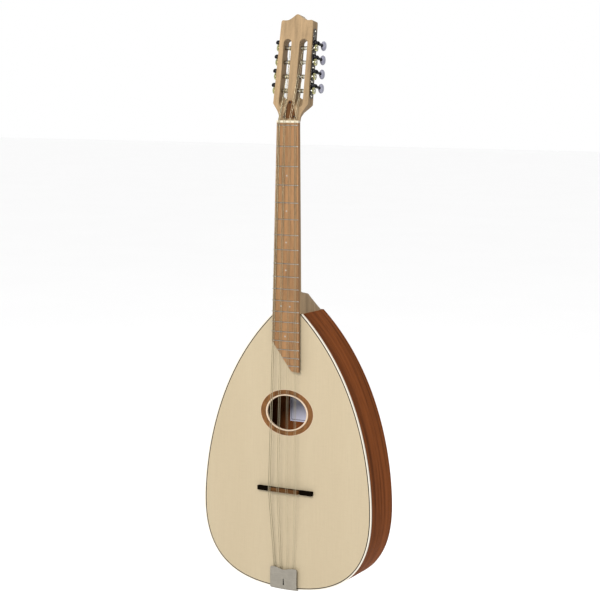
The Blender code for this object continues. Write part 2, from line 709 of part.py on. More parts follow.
def worm_shape():
    """Right-handed worm on a shaft along Z, which tapers back to the button.

    The thread is a grid of rows that climb with the helix. Its last column joins the
    first one a turn further up, so each end closes with a fan along the first column.
    """
    shape = bmesh.new()
    half = TOOTH / LEAD / 2
    profile = ((-half - 0.11, WORM_R - DEDENDUM), (-half + 0.09, WORM_R + ADDENDUM),
               (half - 0.09, WORM_R + ADDENDUM), (half + 0.11, WORM_R - DEDENDUM))
    per_turn = len(profile)
    rows = per_turn * WORM_TURNS

    def add(z, radius, col):
        angle = 2 * math.pi * col / WORM_COLS
        return shape.verts.new((radius * math.cos(angle), radius * math.sin(angle), z))

    grid = {}
    for row in range(rows + per_turn):
        for col in range(WORM_COLS if row < rows else 1):
            share, radius = profile[row % per_turn]
            z = (row // per_turn - WORM_TURNS / 2 + col / WORM_COLS + share) * LEAD
            grid[row, col] = add(z, radius, col)
    for row in range(rows):
        grid[row, WORM_COLS] = grid[row + per_turn, 0]
    for row in range(rows - 1):
        for col in range(WORM_COLS):
            shape.faces.new((grid[row, col], grid[row, col + 1], grid[row + 1, col + 1],
                             grid[row + 1, col]))
    root = WORM_R - DEDENDUM
    stem = [(z * MM, radius * MM) for z, radius in STEM]
    low, high = [[[add(z, radius, col) for col in range(WORM_COLS)] for z, radius in stops]
                 for stops in ([(-THREAD_END, root), (-THREAD_END, SHAFT_R),
                                (-BEARING_END, SHAFT_R)] + stem,
                               [(THREAD_END, root), (THREAD_END, SHAFT_R),
                                (BEARING_END, SHAFT_R)])]
    for stack in (low, high):
        for first, second in zip(stack, stack[1:]):
            skin(shape, first, second)
        shape.faces.new(stack[-1])
    last = WORM_COLS - 1
    for col in range(last):
        shape.faces.new((low[0][col], low[0][col + 1], grid[0, col + 1], grid[0, col]))
        after = col + 1
        shape.faces.new((grid[rows - 1, after], grid[rows - 1, after + 1],
                         high[0][(after + 1) % WORM_COLS], high[0][after]))
    seam = [low[0][last], low[0][0]] + [grid[row, 0] for row in range(per_turn + 1)]
    for a, b in zip(seam, seam[1:]):
        shape.faces.new((grid[0, last], a, b))
    seam = [grid[row, 0] for row in range(rows - 1, rows + per_turn)] + high[0][:2]
    for a, b in zip(seam, seam[1:]):
        shape.faces.new((grid[rows - 1, 1], a, b))
    return shape


def button_shape():
    """Flattened oval grip, centred on its own origin with its socket along Z."""
    wide, thick, long = BUTTON_HALF
    cut = 0.06 * math.pi
    steps = 8
    rings = []
    for i in range(steps + 1):
        turn = cut + (math.pi - 2 * cut) * i / steps
        girth = math.sin(turn) ** 0.8
        rings.append([(wide * girth * math.cos(a), thick * girth * math.sin(a),
                       long * math.cos(turn) / math.cos(cut))
                      for a in [2 * math.pi * j / 12 for j in range(12)]])
    return loft(rings)


def frame_matrix(origin, x_axis, z_axis):
    """Placement with the given origin, X and Z directions."""
    columns = (x_axis, z_axis.cross(x_axis), z_axis, origin)
    matrix = Matrix.Identity(4)
    for j, column in enumerate(columns):
        for i in range(3):
            matrix[i][j] = column[i]
    return matrix


def make_tuners(head, post_cutter):
    """Eight machines, each with one empty on its post's axis and one on its worm's."""
    post = as_mesh("string_post", post_shape(), "nickel")
    worm = as_mesh("tuner_worm", worm_shape(), "black_metal")
    button = as_mesh("tuner_button", button_shape(), "pearl")
    face = Vector((0, -1, 0))
    for side, sign in SIDES:
        make_tuner_plate(side, sign, head, post_cutter)
        out, up = side_axes(sign)
        for i, s in enumerate(post_places()):
            name = side + "_" + str(i + 1)
            base = post_base(sign, s)
            turn = add_empty("post_axis_" + name, frame_matrix(base, up, out), head)
            add_object("string_post_" + name, post, turn)
            axis = base + up * WORM_STEP + out * MACHINE_OUT
            knob = add_empty("knob_axis_" + name, frame_matrix(axis, up, face), head)
            add_object("tuner_worm_" + name, worm, knob)
            grip = add_object("tuner_button_" + name, button, knob)
            grip.location = (0, 0, -BUTTON_BEHIND)


# ------------------------------------------------- bridge, tailpiece, strings

def make_bridge(body):
    """Low black bar with a sunk middle, and a brown saddle standing in it."""
    profile = mirrored([(x * MM, h * MM) for x, h in BRIDGE_EDGE])
    base = loft([[(x, -h, z) for x, h in profile] for z in BRIDGE_Z_ENDS])
    base = add_node("bridge_base", base, "ebony", body)
    base.location = (0, 0, BRIDGE_H)
    half = [(x * MM, h * MM) for x, h in SADDLE_EDGE] + [(SADDLE_CORNER, SADDLE_TOP)]
    profile = mirrored(half)
    rings = []
    for z, drop in SADDLE_CREST:
        rings.append([(x, -h + (drop * MM if h == SADDLE_TOP else 0.0), z * MM)
                      for x, h in profile])
    saddle = add_node("bridge_saddle", loft(rings), "cover_wood", body)
    saddle.location = (0, 0, BRIDGE_H)


def cover_top(x):
    """Upper edge of the tailpiece: a shallow dip between two horns."""
    dip = math.cos(math.pi * x / (34 * MM)) ** 2 if abs(x) < 17 * MM else 0.0
    corner = max(abs(x) - 22.5 * MM, 0.0)
    return TAIL_TOP - 3.2 * MM * dip - corner * 0.8


def make_tailpiece(body):
    """Bent metal cover over a plate with an upturned edge that the strings hook on."""
    rings = []
    steps = 20
    for i in range(steps + 1):
        x = TAIL_HALF * (2 * i / steps - 1)
        top = cover_top(x) / MM
        profile = [(y, top) for y in SHEET] + list(FOLD)
        rings.append([(x, y * MM, h * MM) for y, h in profile])
    cover = add_node("tailpiece", loft(rings), "satin_metal", body)
    slit = block((-0.6 * MM, -9 * MM, 9 * MM), (0.6 * MM, -3.5 * MM, 18 * MM))
    boolean(cover, add_tool("slit_cutter", slit, body))
    hooks = loft([[(x, y * MM, h * MM) for y, h in HOOK_EDGE]
                  for x in (-HOOK_HALF, HOOK_HALF)])
    add_node("tailpiece_hooks", hooks, "satin_metal", body)


def string_shape(route, radius):
    """Thin rod with a bend at each stop of its route."""
    rings = []
    for i, point in enumerate(route):
        along = (route[min(i + 1, len(route) - 1)] - route[max(i - 1, 0)]).normalized()
        a = along.cross(Vector((1, 0, 0))).normalized()
        rings.append(circle(point, a, along.cross(a), radius, 6))
    return loft(rings)


def string_route(sign, pair, offset, radius, post):
    """Stops at the hook, the saddle, the zero fret, the nut's upper edge and the post."""
    nut_x = sign * (NUT_PAIRS[pair] + offset * NUT_PAIR_HALF)
    saddle_x = sign * (BRIDGE_PAIRS[pair] + offset * BRIDGE_PAIR_HALF)
    hook_x = sign * (TAIL_PAIRS[pair] + offset * TAIL_PAIR_HALF)
    front = FRET_FRONT - radius - GAP
    saddle = Vector((saddle_x, -SADDLE_TOP - radius - GAP, BRIDGE_Z))
    nut = Vector((nut_x, front, STRING_BEND_Z))
    share = (FRET0_Z - nut.z) / (BRIDGE_Z - nut.z)
    zero = Vector((nut_x + (saddle_x - nut_x) * share, front, FRET0_Z))
    return [Vector((hook_x, HOOK_FRONT, TAIL_Z + HOOK_H)), saddle, zero, nut, post]


def make_strings(head_place):
    """Outer pairs go to the two lower posts of their side, inner pairs to the upper two."""
    for side, sign in SIDES:
        for i, s in enumerate(post_places()):
            pair = i // 2
            offset = 1 - 2 * (i % 2)
            radius = STRING_RADII[side][pair]
            depth = POST_BEHIND - POST_R - radius - STRING_CLEAR
            post = head_place @ Vector((sign * POST_XS[pair], depth, s))
            route = string_route(sign, pair, offset, radius, post)
            name = "string_" + side + "_" + str(i + 1)
            add_node(name, string_shape(route, radius), "bronze", None)


def main():
    clear_scene()
    body = add_empty("body_frame", Matrix.Translation((0, 0, TAIL_Z)))
    head_place = Matrix.Translation((0, HEAD_FACE_Y, 0)) @ Matrix.Rotation(-HEAD_TILT, 4, 'X')
    head = add_empty("head_frame", head_place)
    make_plates(body)
    make_rosette(body)
    make_sides(body)
    make_bindings(body)
    make_inside(body)
    make_neck(body)
    make_fretboard(body)
    post_cutter = make_post_cutter(head)
    make_headstock(head, post_cutter)
    make_tuners(head, post_cutter)
    make_bridge(body)
    make_tailpiece(body)
    make_strings(head_place)


main()
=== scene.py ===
"""Looks of the long-necked lute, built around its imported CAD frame.

Metres, +Z up. The front faces -Y and +X is the treble side. Pieces that replace CAD nodes
repeat the driving sizes of the solids with finer steps and rounded edges.
"""
import json
import math

import bmesh
import bpy
from mathutils import Matrix, Vector


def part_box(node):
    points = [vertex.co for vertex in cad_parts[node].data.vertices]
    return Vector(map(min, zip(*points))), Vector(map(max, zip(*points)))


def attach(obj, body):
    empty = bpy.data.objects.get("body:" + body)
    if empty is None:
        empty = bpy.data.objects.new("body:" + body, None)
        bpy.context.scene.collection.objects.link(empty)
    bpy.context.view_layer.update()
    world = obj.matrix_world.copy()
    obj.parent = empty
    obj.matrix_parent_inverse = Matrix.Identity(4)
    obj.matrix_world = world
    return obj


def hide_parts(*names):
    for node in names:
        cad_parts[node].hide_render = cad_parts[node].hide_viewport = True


MM = 0.001
ROOT = "instrument"
SHARP = 35.0
PLAIN = Matrix.Identity(4)
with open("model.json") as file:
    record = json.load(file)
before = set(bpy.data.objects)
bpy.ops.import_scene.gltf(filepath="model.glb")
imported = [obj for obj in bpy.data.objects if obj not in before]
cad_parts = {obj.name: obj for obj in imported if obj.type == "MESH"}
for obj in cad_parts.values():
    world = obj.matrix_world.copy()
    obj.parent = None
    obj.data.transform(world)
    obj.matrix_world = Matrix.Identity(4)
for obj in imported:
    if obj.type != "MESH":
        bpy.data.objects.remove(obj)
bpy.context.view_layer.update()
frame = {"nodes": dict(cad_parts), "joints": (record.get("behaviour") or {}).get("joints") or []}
JOINTS = {joint["name"]: joint for joint in frame["joints"]}


def low_corner(node):
    return Vector(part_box(node)[0])


def high_corner(node):
    return Vector(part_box(node)[1])


# Body shell, in the tail's frame: X across, Y deep, Z up from the tail. The outline is half
# of its edge, as cubic curves in millimetres.
TAIL_Z = low_corner("side_treble").z
JOINT_H = high_corner("side_treble").z - TAIL_Z
OUTLINE = (
    ((0.0, 0.0), (87.7, 0.0), (154.8, 29.6), (154.8, 137.8)),
    ((154.8, 137.8), (154.8, 177.2), (147.5, 347.5), (22.2, 463.0)),
)
CURVE_STEPS = 220
EDGE_STEPS = 150
DEPTH_TAIL = 84.0 * MM
DEPTH_NECK = 78.0 * MM
PLATE = 3.2 * MM
SIDE = 2.6 * MM
BINDING = 2.0 * MM
PROUD = 0.05 * MM
INLAY_PROUD = 0.03 * MM
INLAY_DEEP = 0.6 * MM
PURFLING = 1.4 * MM
SEAM_HALF = 0.4 * MM
HOLE_H = 295.3 * MM
RING_OUTER = (47.6 * MM, 37.3 * MM)
RING_MIDDLE = (39.0 * MM, 30.4 * MM)
RING_INNER = (36.0 * MM, 28.2 * MM)
OVAL_STEPS = 120
LABEL_BORDER = (2.4 * MM, 3.3 * MM)

# Neck and fretboard.
SCALE = 600.0 * MM
FRET0_Z = -6.8 * MM
BRIDGE_SHORT = 4.3 * MM
BRIDGE_Z = FRET0_Z - SCALE + BRIDGE_SHORT
NUT_HALF = 19.35 * MM
TWELFTH_HALF = 25.0 * MM
NECK_FACE = -4.0 * MM
BOARD_FRONT = -9.2 * MM
FRET_FRONT = -10.2 * MM
FRET_HALF = 0.75 * MM
FRETS = 18
FRET_INSET = 0.3 * MM
FRET_ENDS = ((0.0, 0.15), (0.5 * MM, 0.85), (0.9 * MM, 1.0))  # way in, share of height
DOT_FRETS = (3, 5, 7, 9, 15)
PAIR_FRET = 12
PAIR_HALF = 8.0 * MM
DOT_STOPS = ((-0.5, 1.3), (0.02, 1.3), (0.05, 1.2))
NECK_INSET = 0.6 * MM
NECK_BACK_TOP = 11.5 * MM
NECK_BACK_LOW = 14.5 * MM
HEEL_H = 492.0 * MM
HEEL_BACK = 33.0 * MM
BOARD_END_H = 364.6 * MM
BOARD_BASS_END = Vector((-25.7 * MM, 416.0 * MM))
BOARD_TREBLE_END = Vector((11.7 * MM, 366.0 * MM))
TONGUE_HALF = 21.6 * MM
BOARD_CORNER = 2.2 * MM
NOTCH_R = 0.4 * MM

# Headstock, in its own frame: X across, Z up the head, -Y out of its face.
HEAD_TILT = math.radians(8.65)
HEAD_FACE_Y = -3.5 * MM
HEAD_THICK = 17.0 * MM
SIDE_LEAN = math.radians(1.33)
SHOULDER_S = 27.8 * MM
SHOULDER_HALF = 31.6 * MM
HEAD_FOOT = (18.9, 0.1)
HEAD_PEAK = (0.0, 171.6)
# Treble half of the head's edge in millimetres: flare, shoulder, upper corner, crown.
HEAD_CURVES = (
    ((18.95, 3.0), (19.1, 10.5), (22.0, 14.8), (25.5, 19.6)),
    ((30.9, 26.9), (31.5, 27.6), (31.6, 28.0), (31.6, 29.0)),
    ((28.6, 157.5), (28.4, 161.0), (27.4, 162.2), (25.2, 162.2)),
    ((25.2, 162.2), (16.0, 161.2), (13.8, 163.1), (9.4, 165.7)),
    ((9.4, 165.7), (5.8, 168.0), (3.0, 171.3), (0.8, 171.55)),
)
SLOT_MIDDLE = 14.35 * MM
SLOT_HALF = 7.15 * MM
SLOT_LOW_FRONT = 20.3 * MM
SLOT_LOW_BACK = 39.5 * MM
SLOT_HIGH = 132.0 * MM
SLOT_ROUND = 5.0 * MM
# Where the neck's round back turns into the head's flat one, in millimetres: height up the
# head, half width, depth behind the face, and the power that squares the corners.
BLEND = ((-2.0, 19.1, 14.6, 1.0), (7.0, 19.7, 15.0, 0.9), (14.0, 23.2, 15.8, 0.72),
         (20.0, 28.5, 16.8, 0.5), (27.0, 36.0, 17.6, 0.25), (34.0, 40.0, 18.0, 0.1),
         (180.0, 40.0, 18.0, 0.1))
BLEND_FINE = 5
BLEND_FRONT = -1.0
POST_S = 50.0 * MM
POST_PITCH = 22.9 * MM
POST_BEHIND = 8.5 * MM
POST_R = 3.0 * MM
POST_HOLE_R = 3.3 * MM
POST_HOLE_STOP = 1.8 * MM
COVER_THICK = 2.0 * MM
COVER_EDGE = ((11.5, 4.0), (11.5, 5.5), (2.6, 32.6), (-2.6, 32.6), (-11.5, 5.5), (-11.5, 4.0))
COVER_SCREWS = ((0.0, 29.4), (-8.8, 6.9), (8.8, 6.9))
COVER_SCREW_R = 1.7 * MM
HEAD_PLACE = Matrix.Translation((0, HEAD_FACE_Y, 0)) @ Matrix.Rotation(-HEAD_TILT, 4, 'X')
TAIL_PLACE = Matrix.Translation((0, 0, TAIL_Z))
FACE_ON = Matrix.Rotation(math.pi / 2, 4, 'X')

# Tuning machines.
TEETH = 14
GEAR_R = 5.2 * MM
GEAR_HALF = 1.3 * MM
WORM_R = 2.35 * MM
LEAD = 2 * math.pi * GEAR_R / TEETH
ADDENDUM = 0.58 * MM
DEDENDUM = 0.74 * MM
MACHINE_OUT = 4.4 * MM
WORM_STEP = GEAR_R + WORM_R
BASE_THICK = 1.0 * MM
BASE_HALF = 5.5 * MM
BASE_LOW = -13.0 * MM
BASE_HIGH = 3 * POST_PITCH + 31.0 * MM
BASE_SCREW_R = 1.6 * MM
BASE_SCREWS = [BASE_LOW + 4.0 * MM, BASE_HIGH - 4.5 * MM] + [
    POST_PITCH * i + 13.8 * MM for i in range(3)]
LUG_THICK = 1.6 * MM
LUG_FOOT = (-2.8 * MM, 4.1 * MM)
LUG_MIDDLE = 0.6 * MM
LUG_R = 3.4 * MM
LUG_SUNK = 0.3 * MM
LUG_STARTS = (-5.4 * MM, 3.8 * MM)
THREAD = 0.34  # thickness of a tooth or a thread as a share of the lead
FLANK = 0.36
TIP = 0.6
GEAR_SOFT = (0.12 * MM, 0.15 * MM)
WORM_TURNS = 2.3
WORM_COLS = 40
WORM_CORE = 0.4 * MM
# Turned profiles in millimetres: height and radius. The thread lies between stem and tip.
POST_STOPS = ((-25.6, 2.4), (-25.1, 3.0), (5.5, 3.0), (5.7, 2.9), (5.75, 2.45), (6.3, 2.3),
              (6.65, 1.9), (6.75, 1.2))
STEM_STOPS = ((-20.2, 1.2), (-20.0, 2.2), (-18.6, 2.5), (-18.2, 1.6), (-14.6, 1.6),
              (-13.2, 1.8), (-12.4, 2.3), (-11.4, 2.4), (-10.8, 2.0), (-9.8, 2.0),
              (-8.8, 2.4), (-7.2, 2.6), (-6.3, 2.4), (-6.2, 1.4), (-3.6, 1.4))
TIP_STOPS = ((3.6, 1.4), (5.5, 1.4), (5.6, 2.7), (6.6, 2.8), (7.2, 2.3), (7.5, 1.2))
THREAD_END = 3.5
SLIT_LOW = (-2.0 * MM, -0.35 * MM, 6.4 * MM)
SLIT_HIGH = (2.0 * MM, 0.35 * MM, 6.82 * MM)
WINDING_TURNS = 4.5
WINDING_STEPS = 20
WINDING_R = 0.28 * MM
BUTTON_BEHIND = 25.0 * MM
BUTTON_HALF = (8.0 * MM, 4.3 * MM, 6.0 * MM)
SIDES = (("bass", -1), ("treble", 1))

# Bridge and tailpiece, with profiles in millimetres.
BRIDGE_H = BRIDGE_Z - TAIL_Z
BRIDGE_DEPTH = (-4.0 * MM, 3.0 * MM)
BRIDGE_EDGE = ((24.0, 1.4), (30.0, 0.1), (50.6, 0.1), (50.6, 5.6), (50.3, 6.5), (49.4, 7.0),
               (29.5, 7.0), (28.4, 6.6), (27.3, 3.7))
SADDLE_TOP = 13.5 * MM
SADDLE_HALF = 26.6 * MM
SADDLE_STEPS = 53
CRESTS = (-0.9, 0.6, -0.3, 0.8, 0.8)
TAIL_HALF = 24.6 * MM
TAIL_TOP = 36.8 * MM
TAIL_DIP = (17.0 * MM, 3.2 * MM)
TAIL_CORNER = (2.6 * MM, 2.0 * MM)
TAIL_STEPS = 64
TAIL_RISE = 0.9
SHEET_Y = (-5.2, -6.2)
FOLD = ((-6.2, 4.4), (-6.0, 2.7), (-5.4, 1.2), (-4.4, 0.0), (-3.2, -0.8), (-1.8, -1.1),
        (20.0, -1.1), (20.0, -0.2), (-1.6, -0.2), (-2.9, 0.1), (-4.0, 0.9), (-4.8, 2.0),
        (-5.15, 3.3), (-5.2, 4.6))
SLIT_EDGE = ((-0.7, 7.5), (1.6, 7.5), (0.7, 18.0), (-0.7, 18.0))

# Strings, with the outer pair first.
NUT_PAIRS = (14.5 * MM, 4.85 * MM)
NUT_PAIR_HALF = 1.3 * MM
BRIDGE_PAIRS = (23.8 * MM, 8.0 * MM)
BRIDGE_PAIR_HALF = 1.5 * MM
TAIL_PAIRS = (17.0 * MM, 6.0 * MM)
TAIL_PAIR_HALF = 1.6 * MM
POST_XS = (14.5 * MM, 12.0 * MM)
HOOK_H = 29.4 * MM
HOOK_FRONT = -2.9 * MM
STRING_BEND_Z = 0.7 * MM
STRING_LIFT = 0.02 * MM
WOUND_FROM = 0.3 * MM
STRING_RADII = {"bass": (0.55 * MM, 0.36 * MM), "treble": (0.28 * MM, 0.2 * MM)}

# Camera: where it looks from, in degrees and metres.
CAMERA_AZ = math.radians(27.424)
CAMERA_EL = math.radians(6.766)
CAMERA_ROLL = math.radians(0.699)
CAMERA_FAR = 2.6256
CAMERA_AIM = Vector((0.0220, -0.0005, -0.2870))
CAMERA_LENS = 97.62
CAMERA_SENSOR = 36.0
FLOOR_DROP = 0.30
FLOOR_SIZE = 40.0
LIGHTS = (  # name, place, aim, watts, size
    ("key", (0.30, -2.8, 1.10), (0, 0, -0.35), 118.0, 1.2),
    ("fill", (-2.6, -1.6, 0.8), (0, 0, -0.4), 12.0, 1.6),
    ("back", (-1.2, 2.4, 1.0), (0, 0, -0.3), 8.0, 1.6),
)


# ---- materials

class Look:
    """Small helper that adds nodes to one material and joins them up."""

    def __init__(self, name):
        self.material = bpy.data.materials.new(name)
        self.material.use_nodes = True
        self.tree = self.material.node_tree
        self.shader = self.tree.nodes["Principled BSDF"]

    def add(self, kind, sockets=(), **values):
        """New node with its settings and the values of its sockets."""
        node = self.tree.nodes.new("ShaderNode" + kind)
        for key, value in values.items():
            setattr(node, key, value)
        for key, value in dict(sockets).items():
            node.inputs[key].default_value = value
        return node

    def join(self, output, target):
        self.tree.links.new(output, target)

    def set(self, **values):
        for key, value in values.items():
            self.shader.inputs[key.replace("_", " ")].default_value = value

    def coords(self, scale=(1.0, 1.0, 1.0), source="Object"):
        place = self.add("TexCoord")
        mapping = self.add("Mapping", {"Scale": scale})
        self.join(place.outputs[source], mapping.inputs["Vector"])
        return mapping.outputs["Vector"]

    def noise(self, vector, scale, detail=4.0, rough=0.55, warp=0.0):
        node = self.add("TexNoise", {"Scale": scale, "Detail": detail, "Roughness": rough,
                                     "Distortion": warp})
        self.join(vector, node.inputs["Vector"])
        return node.outputs["Fac"]

    def ramp(self, value, *stops):
        node = self.add("ValToRGB")
        points = node.color_ramp.elements
        while len(points) < len(stops):
            points.new(0.5)
        for point, (place, colour) in zip(points, stops):
            point.position = place
            point.color = (*colour, 1.0)
        self.join(value, node.inputs["Fac"])
        return node.outputs["Color"]

    def grey(self, value, *stops):
        return self.ramp(value, *[(place, (shade, shade, shade)) for place, shade in stops])

    def mix(self, kind, factor, first, second):
        node = self.add("Mix", {"Factor": factor}, data_type='RGBA', blend_type=kind)
        self.join(first, node.inputs["A"])
        self.join(second, node.inputs["B"])
        return node.outputs["Result"]

    def maths(self, kind, first, second):
        node = self.add("Math", operation=kind)
        self.join(first, node.inputs[0])
        if isinstance(second, float):
            node.inputs[1].default_value = second
        else:
            self.join(second, node.inputs[1])
        return node.outputs["Value"]

    def bump(self, height, strength, distance):
        node = self.add("Bump", {"Strength": strength, "Distance": distance})
        self.join(height, node.inputs["Height"])
        self.join(node.outputs["Normal"], self.shader.inputs["Normal"])

    def colour(self, output):
        self.join(output, self.shader.inputs["Base Color"])

    def roughness(self, output):
        self.join(output, self.shader.inputs["Roughness"])


def shade(colour, factor):
    return tuple(min(c * factor, 1.0) for c in colour)


def wood(name, colour, contrast, streak, along, pores, gloss, shine, axis=2, source="Object"):
    """Streaked, pored wood whose grain runs along one axis of its coordinates."""
    look = Look(name)
    grain, pore_space = [look.coords([stretch if i == axis else 1.0 for i in range(3)], source)
                         for stretch in (along, along * 0.5)]
    streaks = look.noise(grain, streak, 6.0, 0.62, 0.35)
    broad = look.noise(grain, streak * 0.22, 3.0, 0.5, 0.6)
    pore = look.noise(pore_space, streak * 22.0, 2.0, 0.5)
    base = look.ramp(streaks, (0.25, shade(colour, 1.0 - contrast)), (0.5, colour),
                     (0.75, shade(colour, 1.0 + contrast * 0.6)))
    tone = look.grey(broad, (0.3, 1.0 - contrast * 0.7), (0.7, 1.0))
    dots = look.grey(pore, (0.30, 1.0 - pores), (0.46, 1.0))
    toned = look.mix('MULTIPLY', 1.0, base, tone)
    look.colour(look.mix('MULTIPLY', 1.0, toned, dots))
    look.roughness(look.grey(streaks, (0.2, gloss + 0.08), (0.8, gloss - 0.06)))
    look.bump(look.maths('ADD', pore, streaks), 0.25, 0.0003)
    look.set(Specular_IOR_Level=shine)
    return look.material


def spruce_wood():
    """Pale straight-grained top: narrow year rings, faint cross silk, slow tone change."""
    look = Look("spruce")
    plain = look.coords((1.0, 1.0, 0.02))
    spread = {"Scale": 190.0, "Distortion": 2.2, "Detail": 2.0, "Detail Scale": 0.6}
    rings = look.add("TexWave", spread, wave_type='BANDS', bands_direction='X',
                     wave_profile='SAW')
    look.join(plain, rings.inputs["Vector"])
    fibre = look.noise(plain, 900.0, 3.0, 0.6)
    broad = look.noise(look.coords((1.0, 1.0, 0.12)), 14.0, 3.0, 0.5, 0.4)
    silk = look.noise(look.coords((0.25, 1.0, 1.6)), 260.0, 2.0, 0.5)
    base = look.ramp(rings.outputs["Fac"], (0.0, (0.326, 0.272, 0.184)),
                     (0.6, (0.312, 0.258, 0.170)), (1.0, (0.272, 0.212, 0.130)))
    tone = look.ramp(broad, (0.3, (0.955, 0.945, 0.93)), (0.7, (1.0, 1.0, 1.0)))
    toned = look.mix('MULTIPLY', 1.0, base, tone)
    toned = look.mix('MULTIPLY', 1.0, toned, look.grey(fibre, (0.3, 0.94), (0.6, 1.0)))
    look.colour(look.mix('MULTIPLY', 1.0, toned, look.grey(silk, (0.3, 0.975), (0.6, 1.0))))
    look.roughness(look.grey(fibre, (0.2, 0.52), (0.8, 0.42)))
    look.bump(look.maths('ADD', fibre, rings.outputs["Fac"]), 0.12, 0.0002)
    look.set(Specular_IOR_Level=0.25)
    return look.material


def smooth_stuff(name, colour, gloss, contrast=0.06, scale=220.0, shine=0.3):
    """Polished plastic, bone or paper with a faint cloud and a fine surface."""
    look = Look(name)
    space = look.coords()
    cloud = look.noise(space, scale, 4.0, 0.6, 0.4)
    grit = look.noise(space, scale * 12.0, 2.0, 0.5)
    look.colour(look.ramp(cloud, (0.3, shade(colour, 1.0 - contrast)), (0.7, colour)))
    look.roughness(look.grey(grit, (0.3, gloss + 0.06), (0.7, max(gloss - 0.05, 0.02))))
    look.bump(grit, 0.08, 0.0001)
    look.set(Specular_IOR_Level=shine)
    return look.material


def pearl_stuff():
    """Mother-of-pearl plastic: soft folded bands of lilac, grey and cream under a coat."""
    look = Look("pearl")
    space = look.coords((1.0, 1.0, 0.6))
    folds = look.noise(space, 130.0, 5.0, 0.55, 2.4)
    veil = look.noise(space, 320.0, 3.0, 0.5, 1.2)
    base = look.ramp(folds, (0.25, (0.10, 0.10, 0.145)), (0.45, (0.165, 0.165, 0.215)),
                     (0.6, (0.20, 0.20, 0.25)), (0.8, (0.27, 0.265, 0.28)))
    look.colour(look.mix('MULTIPLY', 0.6, base, look.grey(veil, (0.3, 0.82), (0.7, 1.0))))
    look.roughness(look.grey(veil, (0.3, 0.24), (0.7, 0.14)))
    look.set(Coat_Weight=0.6, Coat_Roughness=0.06)
    return look.material


def metal(name, colour, gloss, stretch=(1.0, 1.0, 1.0), scale=900.0):
    """Metal with fine brushing or cast grain, and slight tarnish in its tone."""
    look = Look(name)
    brushed = look.noise(look.coords(stretch), scale, 3.0, 0.6)
    cloud = look.noise(look.coords(), 90.0, 4.0, 0.6, 0.5)
    base = look.ramp(cloud, (0.3, shade(colour, 0.88)), (0.7, colour))
    lines = look.grey(brushed, (0.3, 0.90), (0.7, 1.0))
    look.colour(look.mix('MULTIPLY', 1.0, base, lines))
    look.roughness(look.grey(brushed, (0.2, gloss + 0.08), (0.8, max(gloss - 0.06, 0.03))))
    look.bump(brushed, 0.10, 0.0001)
    look.set(Metallic=1.0)
    return look.material


def engraved_metal():
    """Blackened strip with worn, lighter scrollwork."""
    look = Look("engraved_metal")
    space = look.coords()
    scroll = look.noise(space, 330.0, 3.0, 0.5, 2.2)
    grit = look.noise(space, 2500.0, 2.0, 0.5)
    look.colour(look.ramp(scroll, (0.40, (0.010, 0.010, 0.011)), (0.52, (0.035, 0.033, 0.030)),
                          (0.66, (0.30, 0.275, 0.235))))
    look.roughness(look.grey(grit, (0.3, 0.42), (0.7, 0.30)))
    look.bump(scroll, 0.5, 0.0003)
    look.set(Metallic=1.0)
    return look.material


def wound_string():
    """Bronze winding: close turns along the string, with painted shade in the gaps between them.
    """
    look = Look("wound")
    colour = (0.33, 0.285, 0.185)
    turns = look.add("TexWave", {"Scale": 700.0}, wave_type='BANDS', bands_direction='Z',
                     wave_profile='SIN')
    look.join(look.coords(), turns.inputs["Vector"])
    tone = look.noise(look.coords(), 60.0, 3.0, 0.5)
    # The ramp's darker end, in the gaps between the turns, is painted shade.
    base = look.ramp(turns.outputs["Fac"], (0.1, shade(colour, 0.72)), (0.6, colour))
    look.colour(look.mix('MULTIPLY', 1.0, base, look.grey(tone, (0.3, 0.9), (0.7, 1.0))))
    look.roughness(look.grey(turns.outputs["Fac"], (0.1, 0.42), (0.8, 0.26)))
    look.bump(turns.outputs["Fac"], 0.4, 0.0001)
    look.set(Metallic=1.0)
    return look.material


def floor_stuff():
    look = Look("floor")
    cloud = look.noise(look.coords(), 1.5, 3.0, 0.5)
    look.colour(look.ramp(cloud, (0.3, (0.955, 0.955, 0.955)), (0.7, (0.965, 0.965, 0.965))))
    look.set(Roughness=0.9, Specular_IOR_Level=0.1)
    return look.material


# Name, colour, contrast, streaks, stretch, pores, roughness, shine, and where they differ
# the grain's axis and the coordinates.
WOODS = (
    ("side_wood", (0.172, 0.048, 0.011), 0.6, 95.0, 0.035, 0.5, 0.6, 0.02, 0, "UV"),
    ("back_wood", (0.230, 0.070, 0.020), 0.5, 80.0, 0.035, 0.5, 0.6, 0.02),
    ("inner_wood", (0.30, 0.14, 0.07), 0.25, 90.0, 0.04, 0.3, 0.75, 0.2),
    ("neck_wood", (0.256, 0.174, 0.094), 0.36, 150.0, 0.03, 0.35, 0.5, 0.1),
    ("fretboard_wood", (0.236, 0.126, 0.056), 0.4, 190.0, 0.05, 0.5, 0.55, 0.08),
    ("ring_wood", (0.150, 0.066, 0.023), 0.55, 200.0, 0.3, 0.55, 0.5, 0.05),
    ("cover_wood", (0.105, 0.045, 0.015), 0.7, 180.0, 0.1, 0.4, 0.5, 0.05),
    ("ebony", (0.0030, 0.0020, 0.0012), 0.3, 300.0, 0.05, 0.3, 0.7, 0.0, 0),
    ("saddle_wood", (0.088, 0.038, 0.012), 0.5, 300.0, 0.06, 0.35, 0.5, 0.03, 0),
)
# Name, colour, roughness, contrast, cloud scale, shine.
SMOOTH = (
    ("binding", (0.480, 0.440, 0.370), 0.4),
    ("purfling", (0.008, 0.007, 0.006), 0.7, 0.06, 220.0, 0.02),
    ("bone", (0.44, 0.395, 0.30), 0.4, 0.10),
    ("ring_cream", (0.410, 0.315, 0.225), 0.45),
    ("paper", (0.60, 0.59, 0.70), 0.85),
    ("ink", (0.05, 0.05, 0.10), 0.8),
    ("dot", (0.30, 0.285, 0.26), 0.35, 0.2, 500.0),
)
